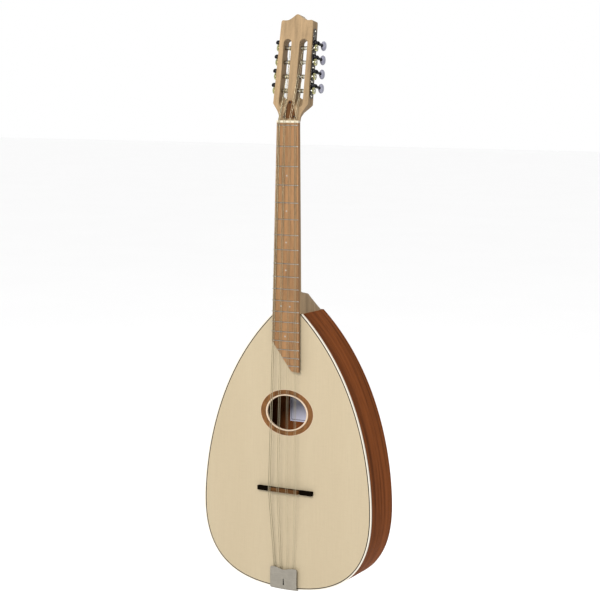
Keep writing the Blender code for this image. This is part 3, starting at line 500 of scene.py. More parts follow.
# Name, colour, roughness, stretch of the brushing, brushing scale.
METALS = (
    ("satin_metal", (0.255, 0.235, 0.198), 0.5, (0.06, 1.0, 1.0), 1500.0),
    ("black_metal", (0.014, 0.014, 0.015), 0.3),
    ("nickel", (0.46, 0.44, 0.38), 0.24),
    ("brass", (0.40, 0.385, 0.20), 0.3),
    ("fret_metal", (0.33, 0.31, 0.28), 0.3, (0.1, 1.0, 1.0)),
    ("bronze", (0.36, 0.32, 0.215), 0.3),
)


def make_materials():
    looks = {"spruce": spruce_wood(), "dark_metal": engraved_metal(), "pearl": pearl_stuff(),
             "wound": wound_string()}
    for make, table in ((wood, WOODS), (smooth_stuff, SMOOTH), (metal, METALS)):
        for name, *values in table:
            looks[name] = make(name, *values)
    return looks


# ---- mesh building

def in_mm(points):
    """Points given in millimetres, in metres."""
    return [(a * MM, b * MM) for a, b in points]


def skin(shape, first, second):
    """Four-sided faces between two closed rings of vertices."""
    count = len(first)
    for i in range(count):
        k = (i + 1) % count
        shape.faces.new((first[i], first[k], second[k], second[i]))


def loft(rings, shape=None):
    """Closed body through rings of points."""
    shape = shape or bmesh.new()
    loops = [[shape.verts.new(point) for point in ring] for ring in rings]
    for first, second in zip(loops, loops[1:]):
        skin(shape, first, second)
    shape.faces.new(loops[0])
    shape.faces.new(loops[-1])
    return shape


def plate(outlines, front, back):
    """Flat plate drawn in X and Z, with holes where more than one outline is given."""
    shape = bmesh.new()
    for outline in outlines:
        loop = [shape.verts.new((x, front(z), z)) for x, z in outline]
        for i in range(len(loop)):
            shape.edges.new((loop[i], loop[(i + 1) % len(loop)]))
    bmesh.ops.triangle_fill(shape, edges=shape.edges[:], use_beauty=True)
    bmesh.ops.dissolve_limit(shape, angle_limit=0.001, verts=shape.verts[:],
                             edges=[e for e in shape.edges if not e.is_boundary])
    moved = bmesh.ops.extrude_face_region(shape, geom=shape.faces[:], use_keep_orig=True)
    for item in moved["geom"]:
        if isinstance(item, bmesh.types.BMVert):
            item.co.y = back(item.co.z)
    return shape


def strip(outer, inner, front, back):
    """Bent strip between two open lines, with UV as length along it and depth."""
    shape = loft([[(xo, front(zo), zo), (xi, front(zi), zi), (xi, back(zi), zi),
                   (xo, back(zo), zo)] for (xo, zo), (xi, zi) in zip(outer, inner)])
    travel = {}
    total = 0.0
    verts = list(shape.verts)
    for i in range(0, len(verts), 4):
        if i:
            total += (verts[i].co - verts[i - 4].co).length
        for j in range(4):
            travel[verts[i + j]] = total
    layer = shape.loops.layers.uv.new("UVMap")
    for face in shape.faces:
        for corner in face.loops:
            corner[layer].uv = (travel[corner.vert], corner.vert.co.y)
    return shape


def band(outer, inner, front, back):
    """Flat ring between two closed lines."""
    shape = bmesh.new()
    loops = [[shape.verts.new((x, y, z)) for x, z in line]
             for line, y in ((outer, front), (outer, back), (inner, back), (inner, front))]
    for first, second in zip(loops, loops[1:] + loops[:1]):
        skin(shape, first, second)
    return shape


def block(low, high):
    corners = ((low[0], low[1]), (high[0], low[1]), (high[0], high[1]), (low[0], high[1]))
    return loft([[(x, y, z) for x, y in corners] for z in (low[2], high[2])])


def circle(centre, a, b, radius, steps):
    turn = 2 * math.pi / steps
    return [centre + (a * math.cos(i * turn) + b * math.sin(i * turn)) * radius
            for i in range(steps)]


def half_turn(x, z, wide, tall, start, steps):
    """Flat arc over half a turn, from a start counted in half turns."""
    turns = [math.pi * (start + i / steps) for i in range(steps + 1)]
    return [(x + wide * math.cos(turn), z + tall * math.sin(turn)) for turn in turns]


def d_section(half, front, back, power):
    """Across and deep points of a D, flat at the front; a higher power is rounder."""
    points = []
    steps = 48
    for i in range(steps + 1):
        across = round(math.cos(math.pi * i / steps), 9)
        deep = round(math.sin(math.pi * i / steps), 9)
        points.append((half * math.copysign(abs(across) ** power, across),
                       front + (back - front) * deep ** power))
    return points


def lathe(stops, steps, shape=None, place=PLAIN):
    """Turned body about Z through (height, radius) stops."""
    rings = [[place @ p for p in circle(Vector((0, 0, z)), Vector((1, 0, 0)),
                                        Vector((0, 1, 0)), radius, steps)]
             for z, radius in stops]
    return loft(rings, shape)


def tube(points, radius, sides):
    """Round tube along a line of points that doesn't start along X."""
    rings = []
    side = Vector((1, 0, 0))
    for i, point in enumerate(points):
        along = (points[min(i + 1, len(points) - 1)] - points[max(i - 1, 0)]).normalized()
        if i == 0:
            side = along.cross(side)
        side = (side - along * side.dot(along)).normalized()
        rings.append(circle(point, side, along.cross(side), radius, sides))
    return loft(rings)


def level(y):
    return lambda z: y


def mirrored(half):
    """Whole outline from its treble half."""
    return [(x, z) for x, z in half] + [(-x, z) for x, z in reversed(half)]


def add_object(name, data):
    obj = bpy.data.objects.new(name, data)
    bpy.context.collection.objects.link(obj)
    return obj


def as_mesh(name, shape):
    mesh = bpy.data.meshes.new(name)
    shape.to_mesh(mesh)
    shape.free()
    return mesh


def soften(obj, width, segments):
    mod = obj.modifiers.new("edges", 'BEVEL')
    mod.width = width
    mod.segments = segments
    mod.limit_method = 'ANGLE'
    mod.angle_limit = math.radians(40)
    mod.harden_normals = True


def piece(name, shape, look, body=ROOT, place=PLAIN, replaces=(), bevel=0.0, segments=3,
          sharp=SHARP):
    """Named object from a bmesh, riding on a CAD body."""
    shape.transform(place)
    bmesh.ops.recalc_face_normals(shape, faces=shape.faces)
    if shape.calc_volume(signed=True) < 0:
        bmesh.ops.reverse_faces(shape, faces=shape.faces)
    mesh = as_mesh(name, shape)
    mesh.materials.append(LOOKS[look])
    mesh.shade_smooth()
    mesh.set_sharp_from_angle(angle=math.radians(sharp))
    obj = add_object(name, mesh)
    if bevel:
        soften(obj, bevel, segments)
    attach(obj, body)
    if replaces:
        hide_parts(*replaces)
    return obj


def cut(obj, shapes, place=PLAIN, operation='DIFFERENCE'):
    """Cuts an object with each of the shapes and keeps the result as its mesh."""
    late = [(mod.width, mod.segments) for mod in obj.modifiers]
    obj.modifiers.clear()
    tools = []
    for shape in shapes:
        shape.transform(place)
        bmesh.ops.recalc_face_normals(shape, faces=shape.faces)
        tools.append(add_object("tool", as_mesh("tool", shape)))
        mod = obj.modifiers.new("cut", 'BOOLEAN')
        mod.operation = operation
        mod.solver = 'EXACT'
        mod.object = tools[-1]
    graph = bpy.context.evaluated_depsgraph_get()
    graph.update()
    done = bpy.data.meshes.new_from_object(obj.evaluated_get(graph))
    obj.modifiers.clear()
    obj.data = done
    done.shade_smooth()
    done.set_sharp_from_angle(angle=math.radians(SHARP))
    for tool in tools:
        bpy.data.objects.remove(tool, do_unlink=True)
    for width, segments in late:
        soften(obj, width, segments)


# ---- body shell

def bezier(points, t):
    weights = ((1 - t) ** 3, 3 * t * (1 - t) ** 2, 3 * t * t * (1 - t), t ** 3)
    return Vector([sum(w * p[i] for w, p in zip(weights, points)) for i in (0, 1)])


def inset_edge(inset):
    """Dense treble half of the body's edge, moved inwards, up to the neck joint."""
    line = [bezier(curve, i / CURVE_STEPS) for curve in OUTLINE
            for i in range(CURVE_STEPS + 1)]
    del line[CURVE_STEPS]
    moved = [Vector((0.0, inset))]
    for i in range(1, len(line)):
        along = line[min(i + 1, len(line) - 1)] - line[i - 1]
        inward = Vector((-along.y, along.x)).normalized()
        moved.append(line[i] * MM + inward * inset)
    kept = [point for point in moved if point.y < JOINT_H]
    after = moved[len(kept)]
    share = (JOINT_H - kept[-1].y) / (after.y - kept[-1].y)
    kept.append(kept[-1].lerp(after, share))
    return kept


def half_outline(inset):
    """The same edge with its points evenly spaced."""
    line = inset_edge(inset)
    travel = [0.0]
    for a, b in zip(line, line[1:]):
        travel.append(travel[-1] + (b - a).length)
    even = []
    j = 0
    for i in range(EDGE_STEPS + 1):
        goal = travel[-1] * i / EDGE_STEPS
        while j < len(line) - 2 and travel[j + 1] < goal:
            j += 1
        point = line[j].lerp(line[j + 1], (goal - travel[j]) / (travel[j + 1] - travel[j]))
        even.append((point.x, point.y))
    return even


def full_line(inset):
    """Open line from the bass side of the neck joint, round the tail, to the treble."""
    half = half_outline(inset)
    return [(-x, h) for x, h in reversed(half[1:])] + half


def back_y(h):
    return DEPTH_TAIL + (DEPTH_NECK - DEPTH_TAIL) * h / JOINT_H


def from_back(y):
    return lambda h: back_y(h) - y


def oval(half, extra=0.0):
    turn = 2 * math.pi / OVAL_STEPS
    return [((half[0] + extra) * math.cos(i * turn),
             HOLE_H + (half[1] + extra) * math.sin(i * turn)) for i in range(OVAL_STEPS)]


def body_piece(name, shape, look, *replaced, bevel=0.0):
    piece(name, shape, look, place=TAIL_PLACE, replaces=replaced, bevel=bevel)


def make_shell():
    edge = full_line(BINDING)
    top = plate([edge, oval(RING_OUTER)], level(0.0), level(PLATE))
    body_piece("top_plate", top, "spruce", "soundboard")
    back = plate([edge], from_back(PLATE), from_back(0.0))
    body_piece("back_wood", back, "back_wood", "back_plate")
    for name, sign in SIDES:
        outer, inner = [[(sign * x, h) for x, h in half_outline(inset)]
                        for inset in (0.0, SIDE)]
        rib = strip(outer, inner, level(PLATE), from_back(PLATE))
        body_piece("rib_" + name, rib, "side_wood", "side_" + name)


def make_trim():
    """Bindings, the dark lines let in just inside them, and the line down the back."""
    outer, inner = full_line(-PROUD), full_line(BINDING)
    front = strip(outer, inner, level(-PROUD), level(PLATE))
    body_piece("binding_front", front, "binding", "top_binding", bevel=0.45 * MM)
    rear = strip(outer, inner, from_back(PLATE), from_back(-PROUD))
    body_piece("binding_rear", rear, "side_wood", "back_binding", bevel=0.45 * MM)
    outer, inner = full_line(BINDING), full_line(BINDING + PURFLING)
    dark = strip(outer, inner, level(-INLAY_PROUD), level(INLAY_DEEP))
    body_piece("purfling_front", dark, "purfling")
    dark = strip(outer, inner, from_back(INLAY_DEEP), from_back(-INLAY_PROUD))
    body_piece("purfling_rear", dark, "purfling")
    seam = mirrored([(SEAM_HALF, 3 * MM), (SEAM_HALF, JOINT_H - 0.2 * MM)])
    body_piece("back_seam", plate([seam], from_back(0.5 * MM), from_back(-INLAY_PROUD)),
               "purfling")


def make_rosette():
    ring = band(oval(RING_OUTER, 0.6 * MM), oval(RING_MIDDLE, 0.45 * MM), -0.2 * MM, PLATE)
    body_piece("rosette_wood", ring, "ring_wood", "rosette", bevel=0.2 * MM)
    inner = band(oval(RING_MIDDLE), oval(RING_INNER), -0.3 * MM, PLATE)
    body_piece("rosette_cream", inner, "ring_cream", "rosette_inner", bevel=0.5 * MM)
    line = band(oval(RING_OUTER, 1.1 * MM), oval(RING_OUTER, 0.5 * MM), -0.12 * MM, 1.0 * MM)
    body_piece("rosette_line", line, "ring_cream")


def make_label():
    """Blank paper with a thin border."""
    low, high = low_corner("label"), high_corner("label")
    sheet, *border = [mirrored([(high.x - inset, low.z - TAIL_Z + inset),
                                (high.x - inset, high.z - TAIL_Z - inset)])
                      for inset in (0.0, *LABEL_BORDER)]
    body_piece("label_sheet", plate([sheet], from_back(PLATE + 0.4 * MM), from_back(PLATE)),
               "paper", "label")
    body_piece("label_border", plate(border, from_back(PLATE + 0.45 * MM),
                                     from_back(PLATE + 0.3 * MM)), "ink")


# ---- neck and fretboard

def board_half(z):
    return NUT_HALF + (TWELFTH_HALF - NUT_HALF) * (FRET0_Z - z) / (SCALE / 2)


def neck_ring(z, half, back, power, slope=0.0):
    """Section of the neck, leaning with the head where it has a slope."""
    return [(x, y, z - (y - HEAD_FACE_Y) * slope)
            for x, y in d_section(half, NECK_FACE, back, power)]


def smooth(t):
    t = min(max(t, 0.0), 1.0)
    return t * t * (3 - 2 * t)


def make_neck():
    """Shaft that swells into a stepped heel, with a tongue under the board's lower end."""
    heel_z = TAIL_Z + HEEL_H
    foot = TAIL_Z + JOINT_H
    rings = [neck_ring(0.0, NUT_HALF - NECK_INSET, NECK_BACK_TOP, 1.0, math.tan(HEAD_TILT))]
    z = -14.0 * MM
    while z > foot:
        share = z / heel_z
        back = NECK_BACK_TOP + (NECK_BACK_LOW - NECK_BACK_TOP) * min(share, 1.0)
        step = smooth((heel_z + 4 * MM - z) / (7 * MM))
        slope = smooth(step) * max(heel_z - z, 0.0) / (heel_z - foot)
        back += (HEEL_BACK - NECK_BACK_LOW) * step
        back += (DEPTH_NECK - HEEL_BACK - 0.3 * MM) * slope
        power = 1.0 - 0.05 * share - 0.53 * step - 0.22 * slope
        rings.append(neck_ring(z, board_half(z) - NECK_INSET, back, power))
        z -= 1.0 * MM if z < heel_z + 12 * MM else 8.0 * MM
    rings.append(neck_ring(foot, inset_edge(0.0)[-1].x, DEPTH_NECK - 0.3 * MM, 0.2))
    piece("neck", loft(rings), "neck_wood", replaces=("neck_shaft",), sharp=50.0)
    high = JOINT_H + 1 * MM
    slope = (BOARD_TREBLE_END.y - BOARD_BASS_END.y) / (BOARD_TREBLE_END.x - BOARD_BASS_END.x)
    bass_end = BOARD_BASS_END.y + (-TONGUE_HALF - BOARD_BASS_END.x) * slope
    low = BOARD_END_H + 1 * MM
    outline = [(TONGUE_HALF, high), (TONGUE_HALF, low), (BOARD_TREBLE_END.x + 1 * MM, low),
               (-TONGUE_HALF, bass_end + 1 * MM), (-TONGUE_HALF, high)]
    body_piece("neck_tongue", plate([outline], level(NECK_FACE), level(-PROUD)), "neck_wood",
               bevel=0.3 * MM)


def fret_z(number):
    return FRET0_Z - SCALE * (1 - 2 ** (-number / 12))


def board_left(z):
    """Bass-side edge of the board, which the slanted cut moves inwards near its end."""
    h = z - TAIL_Z
    if h >= BOARD_BASS_END.y:
        return -board_half(z)
    slope = (BOARD_TREBLE_END.x - BOARD_BASS_END.x) / (BOARD_TREBLE_END.y - BOARD_BASS_END.y)
    return BOARD_BASS_END.x + (h - BOARD_BASS_END.y) * slope


def bend(start, here, end, steps):
    """Points of the curve from start to end that is pulled towards a third point."""
    return [start * (1 - t) ** 2 + here * 2 * t * (1 - t) + end * t * t
            for t in [i / steps for i in range(steps + 1)]]


def rounded(points, radius, steps=6):
    """Outline with each corner replaced by a small curve."""
    done = []
    for i, point in enumerate(points):
        before, after = points[i - 1], points[(i + 1) % len(points)]
        start = point + (before - point).normalized() * radius
        end = point + (after - point).normalized() * radius
        done += [tuple(spot) for spot in bend(start, point, end, steps)]
    return done


def make_fretboard():
    """Board with a slanted lower end whose corners are rounded, and its frets."""
    top = low_corner("nut").z
    end = TAIL_Z + BOARD_END_H
    lower = [Vector((board_half(end), end)),
             Vector((BOARD_TREBLE_END.x, BOARD_TREBLE_END.y + TAIL_Z)),
             Vector((BOARD_BASS_END.x, BOARD_BASS_END.y + TAIL_Z))]
    outline = [(-board_half(top), top), (board_half(top), top)] + rounded(lower, BOARD_CORNER)
    piece("board", plate([outline], level(BOARD_FRONT), level(NECK_FACE)), "fretboard_wood",
          replaces=("fretboard",), bevel=0.35 * MM)
    for number in range(FRETS + 1):
        z = fret_z(number)
        shape = fret_shape(board_left(z) + FRET_INSET, board_half(z) - FRET_INSET, z)
        piece("fret_" + str(number), shape, "fret_metal")


def fret_shape(left, right, z):
    """Crowned wire across the board with sloped ends."""
    height = BOARD_FRONT - FRET_FRONT
    stops = [(left + inward, share) for inward, share in FRET_ENDS]
    stops += [(right - inward, share) for inward, share in reversed(FRET_ENDS)]
    rings = []
    for x, share in stops:
        ring = [(x, BOARD_FRONT - y, z + up)
                for up, y in half_turn(0.0, 0.0, FRET_HALF, height * share, 0, 8)]
        ring += [(x, BOARD_FRONT + 0.2 * MM, z + side * FRET_HALF * 0.95) for side in (-1, 1)]
        rings.append(ring)
    return loft(rings)


def make_dots():
    """Inlaid position dots between the frets."""
    spots = [(number, 0.0) for number in DOT_FRETS]
    spots += [(PAIR_FRET, -PAIR_HALF), (PAIR_FRET, PAIR_HALF)]
    for i, (number, x) in enumerate(spots):
        z = (fret_z(number) + fret_z(number - 1)) / 2
        place = Matrix.Translation((x, BOARD_FRONT, z)) @ FACE_ON
        piece("dot_" + str(i + 1), lathe(in_mm(DOT_STOPS), 28), "dot", place=place)


def make_nut():
    low, high = low_corner("nut"), high_corner("nut")
    nut = piece("nut_bone", block(low, high), "bone", replaces=("nut",), bevel=0.5 * MM)
    notches = []
    for x in [sign * (pair + offset * NUT_PAIR_HALF) for sign in (-1, 1)
              for pair in NUT_PAIRS for offset in (-1, 1)]:
        line = [Vector((x, low.y, z)) for z in (low.z - 2 * MM, high.z + 2 * MM)]
        notches.append(tube(line, NOTCH_R, 10))
    cut(nut, notches)


# ---- headstock

def head_half():
    """Treble half of the head's edge."""
    points = [HEAD_FOOT]
    for curve in HEAD_CURVES:
        points += [tuple(bezier(curve, i / 10)) for i in range(11)]
    return in_mm(points[:1] + [b for a, b in zip(points, points[1:]) if a != b])


def blend_rows():
    """The blend's sections with smaller steps between them."""
    rows = []
    for first, second in zip(BLEND, BLEND[1:]):
        for i in range(BLEND_FINE):
            rows.append([a + (b - a) * i / BLEND_FINE for a, b in zip(first, second)])
    return rows + [BLEND[-1]]


def blend_ring(s, half, depth, power):
    """Section across the head, clear of its face."""
    return [(x * MM, y * MM, s * MM) for x, y in d_section(half, BLEND_FRONT, depth, power)]


def side_half(s):
    return SHOULDER_HALF - (s - SHOULDER_S) * math.tan(SIDE_LEAN)


def post_places():
    return [POST_S + POST_PITCH * i for i in range(4)]


def slot_shape(sign):
    """Long opening with round ends, whose lower end slopes up towards the back."""
    rings = []
    for y, low in ((-2 * MM, SLOT_LOW_FRONT), (HEAD_THICK + 2 * MM, SLOT_LOW_BACK)):
        ring = half_turn(SLOT_MIDDLE, SLOT_HIGH - SLOT_HALF, SLOT_HALF, SLOT_HALF, 0, 24)
        ring += half_turn(SLOT_MIDDLE, low + SLOT_ROUND, SLOT_HALF, SLOT_ROUND, 1, 24)
        rings.append([(sign * x, y, s) for x, s in ring])
    return loft(rings)


def make_head():
    """Crowned head with its rounded foot, two slots and the bores for the posts."""
    half = head_half()
    outline = half + in_mm([HEAD_PEAK]) + [(-x, s) for x, s in reversed(half)]
    head = piece("head", plate([outline], level(0.0), level(HEAD_THICK)), "neck_wood",
                 place=HEAD_PLACE, replaces=("headstock",), bevel=0.5 * MM)
    cut(head, [loft([blend_ring(*row) for row in blend_rows()])], HEAD_PLACE, 'INTERSECT')
    tools = [slot_shape(sign) for _, sign in SIDES]
    for _, sign in SIDES:
        out = Vector((sign * math.cos(SIDE_LEAN), 0, math.sin(SIDE_LEAN)))
        up = Vector((-sign * math.sin(SIDE_LEAN), 0, math.cos(SIDE_LEAN)))
        for s in post_places():
            base = Vector((sign * side_half(s), POST_BEHIND, s))
            tools.append(loft([circle(base + out * d, up, out.cross(up), POST_HOLE_R, 32)
                               for d in (POST_HOLE_STOP - side_half(s), 3 * MM)]))
    cut(head, tools, HEAD_PLACE)


def screw_shape(radius, place, shape=None):
    """Domed screw head."""
    stops = ((-1.0 * MM, radius * 0.8), (0.0, radius), (0.25 * radius, radius * 0.92),
             (0.42 * radius, radius * 0.62), (0.48 * radius, radius * 0.2))
    return lathe(stops, 24, shape, place)


def make_cover():
    edge = rounded([Vector(point) for point in in_mm(COVER_EDGE)], 0.8 * MM, 4)
    piece("cover", plate([edge], level(-COVER_THICK), level(-PROUD)), "cover_wood",
          place=HEAD_PLACE, replaces=("truss_rod_cover",), bevel=0.5 * MM)
    for i, (x, s) in enumerate(in_mm(COVER_SCREWS)):
        place = HEAD_PLACE @ Matrix.Translation((x, 0.1 * MM - COVER_THICK, s)) @ FACE_ON
        piece("cover_screw_" + str(i + 1), screw_shape(COVER_SCREW_R, place), "black_metal")


# ---- tuning machines

def basis(origin, x_axis, z_axis):
    """Frame with its origin and the directions of two of its axes."""
    matrix = Matrix((x_axis, z_axis.cross(x_axis), z_axis)).transposed().to_4x4()
    matrix.translation = origin
    return matrix


def machine_axes(name, sign):
    """Where one machine's post and worm sit, and its ways out, up and to the face."""
    post, knob = JOINTS["post_turn_" + name], JOINTS["knob_turn_" + name]
    out = Vector(post["axis"]).normalized() * sign
    face = Vector(knob["axis"]).normalized()
    up = out.cross(face).normalized()
    if up.z < 0:
        up.negate()
    return Vector(post["pos_m"]), Vector(knob["pos_m"]), out, up, face


def stadium(low, high, half_wide):
    """Round-ended outline, long in its second coordinate."""
    return (half_turn(0.0, high - half_wide, half_wide, half_wide, 0, 16)
            + half_turn(0.0, low + half_wide, half_wide, half_wide, 1, 16))


def make_machine_plate(name, sign):
    """Strip with round ends, a pair of lugs for each worm and its screws."""
    base, _, out, up, face = machine_axes(name + "_1", sign)
    shape = plate([stadium(BASE_LOW, BASE_HIGH, BASE_HALF)], level(0.0), level(1.0))
    for vert in shape.verts:
        x, y, z = vert.co
        vert.co = base + face * x + up * z + out * (0.1 * MM if y < 0.5 else BASE_THICK)
    piece("machine_plate_" + name, shape, "dark_metal", replaces=("tuner_plate_" + name,),
          bevel=0.3 * MM)
    lugs = bmesh.new()
    edge = [(u, BASE_THICK - LUG_SUNK - MACHINE_OUT) for u in LUG_FOOT]
    edge += half_turn(LUG_MIDDLE, 0.0, LUG_R, LUG_R, 0, 12)
    for i in range(4):
        axis = base + up * (POST_PITCH * i + WORM_STEP) + out * MACHINE_OUT
        for start in LUG_STARTS:
            loft([[axis + face * f + up * u + out * o for u, o in edge]
                  for f in (start, start + LUG_THICK)], lugs)
    piece("machine_lugs_" + name, lugs, "black_metal", bevel=0.25 * MM)
    screws = bmesh.new()
    for along in BASE_SCREWS:
        spot = basis(base + up * along + out * BASE_THICK, up, out)
        screw_shape(BASE_SCREW_R, spot, screws)
    piece("machine_screws_" + name, screws, "nickel")


def gear_shape():
    """Toothed wheel with rounded tips and soft edges, one tooth centred on +X."""
    rises = (-DEDENDUM, -DEDENDUM * 0.5, 0.0, ADDENDUM * 0.7, ADDENDUM)
    soft, step = GEAR_SOFT
    rings = []
    for z, grow in ((-GEAR_HALF, -soft), (-GEAR_HALF + step, 0.0), (GEAR_HALF - step, 0.0),
                    (GEAR_HALF, -soft)):
        ring = []
        for tooth in range(TEETH):
            for side in (-1, 1):
                for rise in rises[::-side]:
                    radius = GEAR_R + rise + grow
                    width = (THREAD * LEAD - 2 * rise * FLANK) / (2 * radius)
                    if rise == ADDENDUM:
                        width *= TIP
                    angle = tooth * 2 * math.pi / TEETH + side * width
                    ring.append((radius * math.cos(angle), radius * math.sin(angle),
                                 z + MACHINE_OUT))
        rings.append(ring)
    return loft(rings)


def worm_shape():
    """Right-handed thread with rounded crests, as a band of rows that climb with the helix."""
    half = THREAD / 2
    root = WORM_R - DEDENDUM
    profile = ((-half - 0.13, 0.0), (-half - 0.04, DEDENDUM * 0.6),
               (-half + 0.06, DEDENDUM + ADDENDUM * 0.7), (-half + 0.11, DEDENDUM + ADDENDUM),
               (half - 0.11, DEDENDUM + ADDENDUM), (half - 0.06, DEDENDUM + ADDENDUM * 0.7),
               (half + 0.04, DEDENDUM * 0.6), (half + 0.13, 0.0))
    last = WORM_TURNS * WORM_COLS
    rings = []
    for step in range(int(last) + 1):
        fade = smooth(min(step, last - step) / (WORM_COLS * 0.2))
        climb = (step / WORM_COLS - WORM_TURNS / 2) * LEAD
        row = [(root + rise * fade, climb + share * LEAD) for share, rise in profile]
        row += [(root - WORM_CORE, row[-1][1]), (root - WORM_CORE, row[0][1])]
        angle = 2 * math.pi * step / WORM_COLS - math.pi * WORM_TURNS
        rings.append([(r * math.cos(angle), r * math.sin(angle), z) for r, z in row])
    return loft(rings)


def shaft_stops():
    """Turned profile of the stem to the button, bearings, collar and the worm's core."""
    root = (WORM_R - DEDENDUM) / MM
    return in_mm((*STEM_STOPS, (-THREAD_END, root), (THREAD_END, root), *TIP_STOPS))


def button_shape():
    """Flattened oval grip with a soft waist towards its socket."""
    wide, thick, long = BUTTON_HALF
    steps = 26
    around = 40
    rings = []
    for i in range(steps + 1):
        turn = math.pi * (0.02 + 0.96 * i / steps)
        girth = math.sin(turn) ** 0.78
        flat = 1.0 - 0.18 * smooth((math.cos(turn) - 0.1) / 0.9)
        ring = []
        for j in range(around):
            a = 2 * math.pi * j / around
            x = wide * girth * flat * math.copysign(abs(math.cos(a)) ** 0.9, math.cos(a))
            y = thick * girth * math.copysign(abs(math.sin(a)) ** 0.9, math.sin(a))
            ring.append((x, y, long * math.cos(turn) - BUTTON_BEHIND))
        rings.append(ring)
    return loft(rings)


def winding_shape(depth, radius):
    """Turns of string laid side by side round a post."""
    reach = POST_R + radius * 0.9
    points = []
    for i in range(int(WINDING_TURNS * WINDING_STEPS) + 1):
        turns = i / WINDING_STEPS
        angle = 2 * math.pi * turns
        points.append(Vector((reach * math.cos(angle), reach * math.sin(angle),
                              depth + radius * 2.1 * (turns - WINDING_TURNS / 2))))
    return tube(points, radius, 8)


def make_machine(side, sign, index):
    """Post with its gear, slit end and winding, and worm with its stem and button."""
    name = side + "_" + str(index + 1)
    post, knob, out, up, face = machine_axes(name, sign)
    pair = index // 2
    depth = POST_XS[pair] - side_half(POST_S + POST_PITCH * index)
    turns = winding_shape(depth, max(STRING_RADII[side][pair], WINDING_R))
    on_post = ("post_" + name, basis(post, up, out))
    piece("post_rod_" + name, lathe(in_mm(POST_STOPS), 36), "nickel", *on_post,
          ("string_post_" + name,))
    piece("post_gear_" + name, gear_shape(), "brass", *on_post)
    piece("post_slit_" + name, block(SLIT_LOW, SLIT_HIGH), "black_metal", *on_post)
    piece("winding_" + name, turns, "bronze", *on_post)
    on_knob = ("knob_" + name, basis(knob, up, face))
    piece("worm_shaft_" + name, lathe(shaft_stops(), 32), "black_metal", *on_knob,
          ("tuner_worm_" + name,))
    piece("worm_thread_" + name, worm_shape(), "black_metal", *on_knob)
    piece("button_" + name, button_shape(), "pearl", *on_knob, ("tuner_button_" + name,))


# ---- bridge, tailpiece, strings

def make_bridge():
    """Black base with raised ends and a brown saddle with staggered steps."""
    place = TAIL_PLACE @ Matrix.Translation((0, 0, BRIDGE_H))
    shape = plate([mirrored(in_mm(BRIDGE_EDGE))], level(0.0), level(1.0))
    for vert in shape.verts:
        x, y, h = vert.co
        vert.co = (x, -h, BRIDGE_DEPTH[y > 0.5])
    piece("bridge_black", shape, "ebony", place=place, replaces=("bridge_base",),
          bevel=0.45 * MM)
    rings = []
    for i in range(SADDLE_STEPS + 1):
        x = SADDLE_HALF * (2 * i / SADDLE_STEPS - 1)
        crest = saddle_crest(x)
        rings.append([(x, -3.5 * MM, -3.4 * MM), (x, -9.6 * MM, -3.4 * MM),
                      (x, -10.6 * MM, crest - 1.5 * MM), (x, -SADDLE_TOP, crest - 0.6 * MM),
                      (x, -SADDLE_TOP, crest + 0.3 * MM), (x, -10.6 * MM, crest + 1.3 * MM),
                      (x, -9.6 * MM, 2.4 * MM), (x, -3.5 * MM, 2.4 * MM)])
    piece("bridge_brown", loft(rings), "saddle_wood", place=place,
          replaces=("bridge_saddle",), bevel=0.2 * MM, segments=2)


def saddle_crest(x):
    """How far the string line stands up or down the saddle, in four staggered steps."""
    return CRESTS[int((x + SADDLE_HALF) / (SADDLE_HALF / 2))] * MM


def cover_top(x):
    """Upper edge of the tailpiece, dipped in the middle and rounded at the corners."""
    reach, depth = TAIL_DIP
    dip = math.cos(math.pi * x / (2 * reach)) ** 2 if abs(x) < reach else 0.0
    width, fall = TAIL_CORNER
    corner = max(abs(x) - TAIL_HALF + width, 0.0) / width
    return TAIL_TOP - depth * dip - corner * corner * fall


def make_tailpiece():
    """Satin sheet, folded over the tail, with a dipped upper edge and a keyhole slit."""
    rings = []
    for i in range(TAIL_STEPS + 1):
        x = TAIL_HALF * (2 * i / TAIL_STEPS - 1)
        rise = TAIL_RISE * (x / TAIL_HALF) ** 2
        ring = [(x, y * MM, cover_top(x)) for y in SHEET_Y]
        rings.append(ring + [(x, y * MM, (h + rise) * MM) for y, h in FOLD])
    tail = piece("tail_cover", loft(rings), "satin_metal", place=TAIL_PLACE,
                 replaces=("tailpiece",), bevel=0.25 * MM, segments=2)
    slit = rounded([Vector(point) for point in in_mm(SLIT_EDGE)], 0.5 * MM, 4)
    cut(tail, [plate([slit], level(-9 * MM), level(-3.5 * MM))], TAIL_PLACE)


def string_route(sign, pair, offset, radius, post):
    """Bends of one string, from the tailpiece over saddle and nut to its post."""
    nut_x = sign * (NUT_PAIRS[pair] + offset * NUT_PAIR_HALF)
    saddle_x = sign * (BRIDGE_PAIRS[pair] + offset * BRIDGE_PAIR_HALF)
    hook_x = sign * (TAIL_PAIRS[pair] + offset * TAIL_PAIR_HALF)
    front = FRET_FRONT - radius - STRING_LIFT
    saddle = Vector((saddle_x, -SADDLE_TOP - radius, BRIDGE_Z + saddle_crest(saddle_x)))
    nut = Vector((nut_x, front, STRING_BEND_Z))
    share = (FRET0_Z - nut.z) / (BRIDGE_Z - nut.z)
    zero = Vector((nut_x + (saddle_x - nut_x) * share, front, FRET0_Z))
    hook = Vector((hook_x, HOOK_FRONT, TAIL_Z + HOOK_H))
    return [hook, saddle, zero, nut, post]


def softened(route, reach=1.6 * MM):
    """The route with each inner bend eased over a short stretch."""
    points = [route[0]]
    for before, here, after in zip(route, route[1:], route[2:]):
        start = here + (before - here).normalized() * min(reach, (before - here).length / 3)
        end = here + (after - here).normalized() * min(reach, (after - here).length / 3)
        points += bend(start, here, end, 4)
    return points + [route[-1]]


